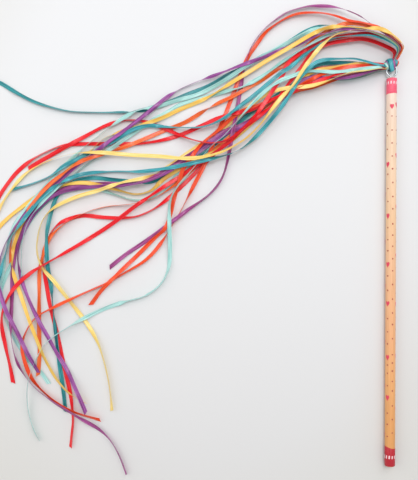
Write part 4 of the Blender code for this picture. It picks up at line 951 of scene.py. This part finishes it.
def patch(bm, outline, yc, ang, r0, r1):
    """A thin closed patch on the stick: outline is (across, along) in mm about its middle."""
    def at(a, y, r):
        th = ang + a / DOWEL_R
        return bm.verts.new((r * MM * math.sin(th), (yc + y) * MM, AXIS_Z * MM + r * MM * math.cos(th)))
    n = len(outline)
    rings = []
    for f in (1.0, 0.66, 0.33):
        rings.append([at(a * f, y * f, r1 - (0.006 if f == 1.0 else 0.0)) for a, y in outline])
    mid = at(0, 0, r1)
    low = [at(a, y, r0) for a, y in outline]
    lowmid = at(0, 0, r0)
    for j in range(n):
        k = (j + 1) % n
        for a, b in zip(rings, rings[1:]):
            bm.faces.new((a[j], a[k], b[k], b[j]))
        bm.faces.new((rings[-1][j], rings[-1][k], mid))
        bm.faces.new((rings[0][k], rings[0][j], low[j], low[k]))
        bm.faces.new((low[k], low[j], lowmid))


def heart(w, h, rng):
    pts = []
    for i in range(28):
        t = 2 * math.pi * i / 28
        x = 16 * math.sin(t) ** 3 / 16
        y = (13 * math.cos(t) - 5 * math.cos(2 * t) - 2 * math.cos(3 * t) - math.cos(4 * t)) / 14.5
        pts.append((x * w / 2 * rng.uniform(0.96, 1.04), y * h / 2 * rng.uniform(0.97, 1.03)))
    return pts


def dot(r, rng):
    k = rng.uniform(0.85, 1.15)
    return [(r * k * math.cos(2 * math.pi * i / 12) * rng.uniform(0.92, 1.08),
             r / k * math.sin(2 * math.pi * i / 12) * rng.uniform(0.92, 1.08)) for i in range(12)]


def px_y(v):
    """Where a mark at a height v in the picture's frame lies on the stick."""
    return 19.2 + (240.0 - v) * (520.0 - 8.0) / 655.0 + 0.7


# six rows of marks round the stick; the two that show from above are placed
rng = np.random.default_rng(77)
ROW_A = math.radians(-7)        # the row along the top
ROW_B = math.radians(-64)       # the row on the ribbons' side
hearts = [(ROW_A, 106.1)] + [(ROW_B, v) for v in (164.2, 215.9, 264.5, 303.6, 357.6, 398.0)]
dots = [(ROW_A, v) for v in (116.0, 130.0, 143.0, 156.0, 168.7, 182.5, 196.5, 208.8, 223.8, 235.1,
                             246.3, 258.7, 270.8, 284.4, 299.1, 313.0, 324.5, 338.7, 354.7, 363.0,
                             371.0, 381.4, 390.9, 405.9, 419.5, 433.0, 444.0)]
dots += [(ROW_B, v) for v in (111.5, 123.6, 135.1, 149.0, 174.1, 188.5, 201.4, 227.6, 239.7, 250.8,
                              276.0, 290.6, 318.8, 332.0, 344.1, 365.3, 373.6, 386.0, 413.5, 424.7, 436.8)]
for row in range(4):
    ang = math.radians(-124 - 60 * row)
    v, count = 100.0 + 6.0 * rng.random(), row
    while v < 438:
        count += 1
        if count % 4 == 0:
            hearts.append((ang, v + rng.uniform(-1.5, 1.5)))
        else:
            dots.append((ang + math.radians(rng.uniform(-4, 4)), v))
        v += rng.uniform(11.0, 14.0)


def drift(v):
    """The rows wander round the stick a little towards the butt."""
    return math.radians(float(np.interp(v, (110, 150, 180, 440), (-3, 0, 11, 18))))


marks = bmesh.new()
for ang, v in hearts:
    patch(marks, heart(rng.uniform(2.8, 3.3), rng.uniform(4.4, 5.0), rng), px_y(v), ang + drift(v), 3.93, 3.975)
me = bpy.data.meshes.new("drawn_hearts")
bmesh.ops.recalc_face_normals(marks, faces=marks.faces)
marks.to_mesh(me)
marks.free()
hearts_ob = bpy.data.objects.new("drawn_hearts", me)
marks = bmesh.new()
for ang, v in dots:
    if v < 439:
        patch(marks, dot(rng.uniform(0.56, 0.72), rng), px_y(v), ang + drift(v), 3.93, 3.97)
me = bpy.data.meshes.new("drawn_dots")
bmesh.ops.recalc_face_normals(marks, faces=marks.faces)
marks.to_mesh(me)
marks.free()
dots_ob = bpy.data.objects.new("drawn_dots", me)
for ob, mat in ((hearts_ob, ink_material("heart_ink", srgb(236, 74, 100), srgb(212, 44, 76))),
                (dots_ob, ink_material("dot_ink", srgb(196, 98, 76), srgb(146, 58, 44)))):
    bpy.context.scene.collection.objects.link(ob)
    ob.data.shade_smooth()
    ob.data.materials.append(mat)
    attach(ob, "stick")


def ticks(name, yc, count, length):
    bm = bmesh.new()
    rng = np.random.default_rng(3)
    for i in range(count):
        ang = 2 * math.pi * (i + 0.35) / count
        w = rng.uniform(0.95, 1.2)
        h = length * rng.uniform(0.9, 1.1)
        lean = rng.uniform(-0.12, 0.12)
        out = []
        for k in range(16):
            t = 2 * math.pi * k / 16
            x = w / 2 * np.sign(math.cos(t)) * abs(math.cos(t)) ** 0.5
            y = h / 2 * np.sign(math.sin(t)) * abs(math.sin(t)) ** 0.5
            out.append((x + lean * y, y))
        patch(bm, out, yc + rng.uniform(-0.1, 0.1), ang, 4.045, 4.085)
    bmesh.ops.recalc_face_normals(bm, faces=bm.faces)
    me = bpy.data.meshes.new(name)
    bm.to_mesh(me)
    bm.free()
    ob = bpy.data.objects.new(name, me)
    bpy.context.scene.collection.objects.link(ob)
    ob.data.shade_smooth()
    ob.data.materials.append(ink_material(name + "_ink", srgb(252, 226, 228), srgb(240, 196, 200)))
    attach(ob, "stick")


ticks("eye_band_marks", px_y(82.3), 11, 2.4)
ticks("butt_band_marks", px_y(457.6), 11, 2.6)


# =============================================================== the screw eye
def wire(name, pts, radius, res=5, taper=None):
    cu = bpy.data.curves.new(name, "CURVE")
    cu.dimensions = "3D"
    cu.bevel_depth = radius * MM
    cu.bevel_resolution = res
    cu.use_fill_caps = True
    sp = cu.splines.new("POLY")
    sp.points.add(len(pts) - 1)
    for i, (p, v) in enumerate(zip(sp.points, pts)):
        p.co = (v[0] * MM, v[1] * MM, v[2] * MM, 1.0)
        p.radius = 1.0 if taper is None else taper[i]
    tmp = bpy.data.objects.new(name, cu)
    bpy.context.scene.collection.objects.link(tmp)
    bpy.context.view_layer.update()
    me = bpy.data.meshes.new_from_object(tmp.evaluated_get(bpy.context.evaluated_depsgraph_get()))
    bpy.data.objects.remove(tmp, do_unlink=True)
    bm = bmesh.new()
    bm.from_mesh(me)
    bmesh.ops.remove_doubles(bm, verts=bm.verts, dist=0.000002)
    bmesh.ops.recalc_face_normals(bm, faces=bm.faces)
    bm.to_mesh(me)
    bm.free()
    me.shade_smooth()
    me.set_sharp_from_angle(angle=math.radians(50))
    ob = bpy.data.objects.new(name, me)
    bpy.context.scene.collection.objects.link(ob)
    return ob


ctrl = [(RING_R * math.cos(math.radians(d)), RING_Y + RING_R * math.sin(math.radians(d)))
        for d in np.linspace(-62, 247, 40)]
ctrl += [(-0.85, RING_Y - 4.42), (-0.28, RING_Y - 4.85), (-0.04, RING_Y - 5.45), (0.0, RING_Y - 6.2),
         (0.0, RING_Y - 7.6), (0.0, RING_Y - 10.0), (0.0, RING_Y - 14.0), (0.0, RING_Y - 17.0),
         (0.0, RING_Y - 19.6)]
fine = smooth_route(ctrl, 0.25)
taper = np.ones(len(fine))
tail = np.linalg.norm(fine - fine[-1], axis=1)
taper = np.clip(tail / 4.2, 0.06, 1.0) * np.where(fine[:, 1] < RING_Y - 8.0, 0.92, 1.0)
taper[:2] = (0.75, 0.95)
steel = steel_material()
eye = wire("screw_eye_wire", [(x, y, AXIS_Z) for x, y in fine], WIRE_R, 6, taper)
eye.data.materials.clear()
eye.data.materials.append(steel)
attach(eye, "stick")
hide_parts("screw_eye")
hel = []
for i in range(9 * 28 + 1):
    t = i / 28.0
    y = RING_Y - 8.3 - t * 1.15
    r = 0.66 * (1.0 if t < 6 else 1.0 - 0.62 * (t - 6) / 3.0)
    hel.append((r * math.sin(2 * math.pi * t), y, AXIS_Z + r * math.cos(2 * math.pi * t)))
th = wire("screw_eye_helix", hel, 0.26, 2, np.clip(np.minimum(np.arange(len(hel)), np.arange(len(hel))[::-1]) / 30.0, 0.15, 1.0))
th.data.materials.clear()
th.data.materials.append(steel)
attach(th, "stick")


# =============================================================== stage and light
bpy.ops.mesh.primitive_plane_add(size=6.0, location=(-0.15, 0.0, -0.0002))
floor = bpy.context.object
floor.name = "floor"
m, nt, b = new_material("pale_paper_floor")
tc = nt.nodes.new("ShaderNodeTexCoord")
n = node(nt, "ShaderNodeTexNoise", Scale=3.0, Detail=2.0)
nt.links.new(tc.outputs["Object"], n.inputs["Vector"])
pale = mix_rgb(nt, n.outputs[0], (0.752, 0.754, 0.764), (0.772, 0.774, 0.782))
sep = nt.nodes.new("ShaderNodeSeparateXYZ")
nt.links.new(tc.outputs["Object"], sep.inputs[0])
painted_falloff = nt.nodes.new("ShaderNodeMapRange")            # painted shade: the floor is painted darker and creamier towards the near edge, where the light falls off
painted_falloff.interpolation_type = "SMOOTHSTEP"
for i, v in ((1, 0.16), (2, -0.34), (3, 0.0), (4, 1.0)):
    painted_falloff.inputs[i].default_value = v
nt.links.new(sep.outputs[1], painted_falloff.inputs[0])
pale = mix_rgb(nt, painted_falloff.outputs[0], pale, (0.655, 0.644, 0.632))
# painted shade: the floor is painted darker and warmer away from the middle of the view, towards its corners
dx = math_node(nt, "MULTIPLY_ADD", sep.outputs[0], 1.35, -0.0068)
dy = math_node(nt, "SUBTRACT", sep.outputs[1], 0.06)
away = math_node(nt, "SQRT", math_node(nt, "ADD", math_node(nt, "MULTIPLY", dx, dx), math_node(nt, "MULTIPLY", dy, dy)))
painted_vignette = nt.nodes.new("ShaderNodeMapRange")
painted_vignette.interpolation_type = "SMOOTHSTEP"
for i, v in ((1, 0.20), (2, 0.32), (3, 0.0), (4, 0.42)):
    painted_vignette.inputs[i].default_value = v
nt.links.new(away, painted_vignette.inputs[0])
nt.links.new(mix_rgb(nt, painted_vignette.outputs[0], pale, (0.650, 0.630, 0.565)), b.inputs["Base Color"])
b.inputs["Roughness"].default_value = 0.75
b.inputs["Specular IOR Level"].default_value = 0.2
floor.data.materials.append(m)


def area(name, loc, target, size, power, colour):
    li = bpy.data.lights.new(name, "AREA")
    li.shape = "DISK"
    li.size = size
    li.energy = power
    li.color = colour
    ob = bpy.data.objects.new(name, li)
    bpy.context.scene.collection.objects.link(ob)
    ob.location = loc
    ob.rotation_euler = (Vector(target) - Vector(loc)).to_track_quat("-Z", "Y").to_euler()
    return ob


area("window", (0.42, 0.95, 1.10), (-0.12, 0.02, 0.0), 1.30, 6.9, (1.0, 0.99, 0.975))
area("softbox", (0.02, 0.34, 1.25), (-0.14, 0.02, 0.0), 0.42, 5.0, (0.98, 0.99, 1.0))
area("side_card", (-1.05, 0.30, 0.75), (-0.12, 0.02, 0.0), 1.10, 3.4, (1.0, 0.985, 0.96))
world = bpy.data.worlds.new("studio")
bpy.context.scene.world = world
world.use_nodes = True
world.node_tree.nodes["Background"].inputs[0].default_value = (0.97, 0.98, 1.0, 1.0)
world.node_tree.nodes["Background"].inputs[1].default_value = 0.615
bpy.context.scene.view_settings.view_transform = "Standard"
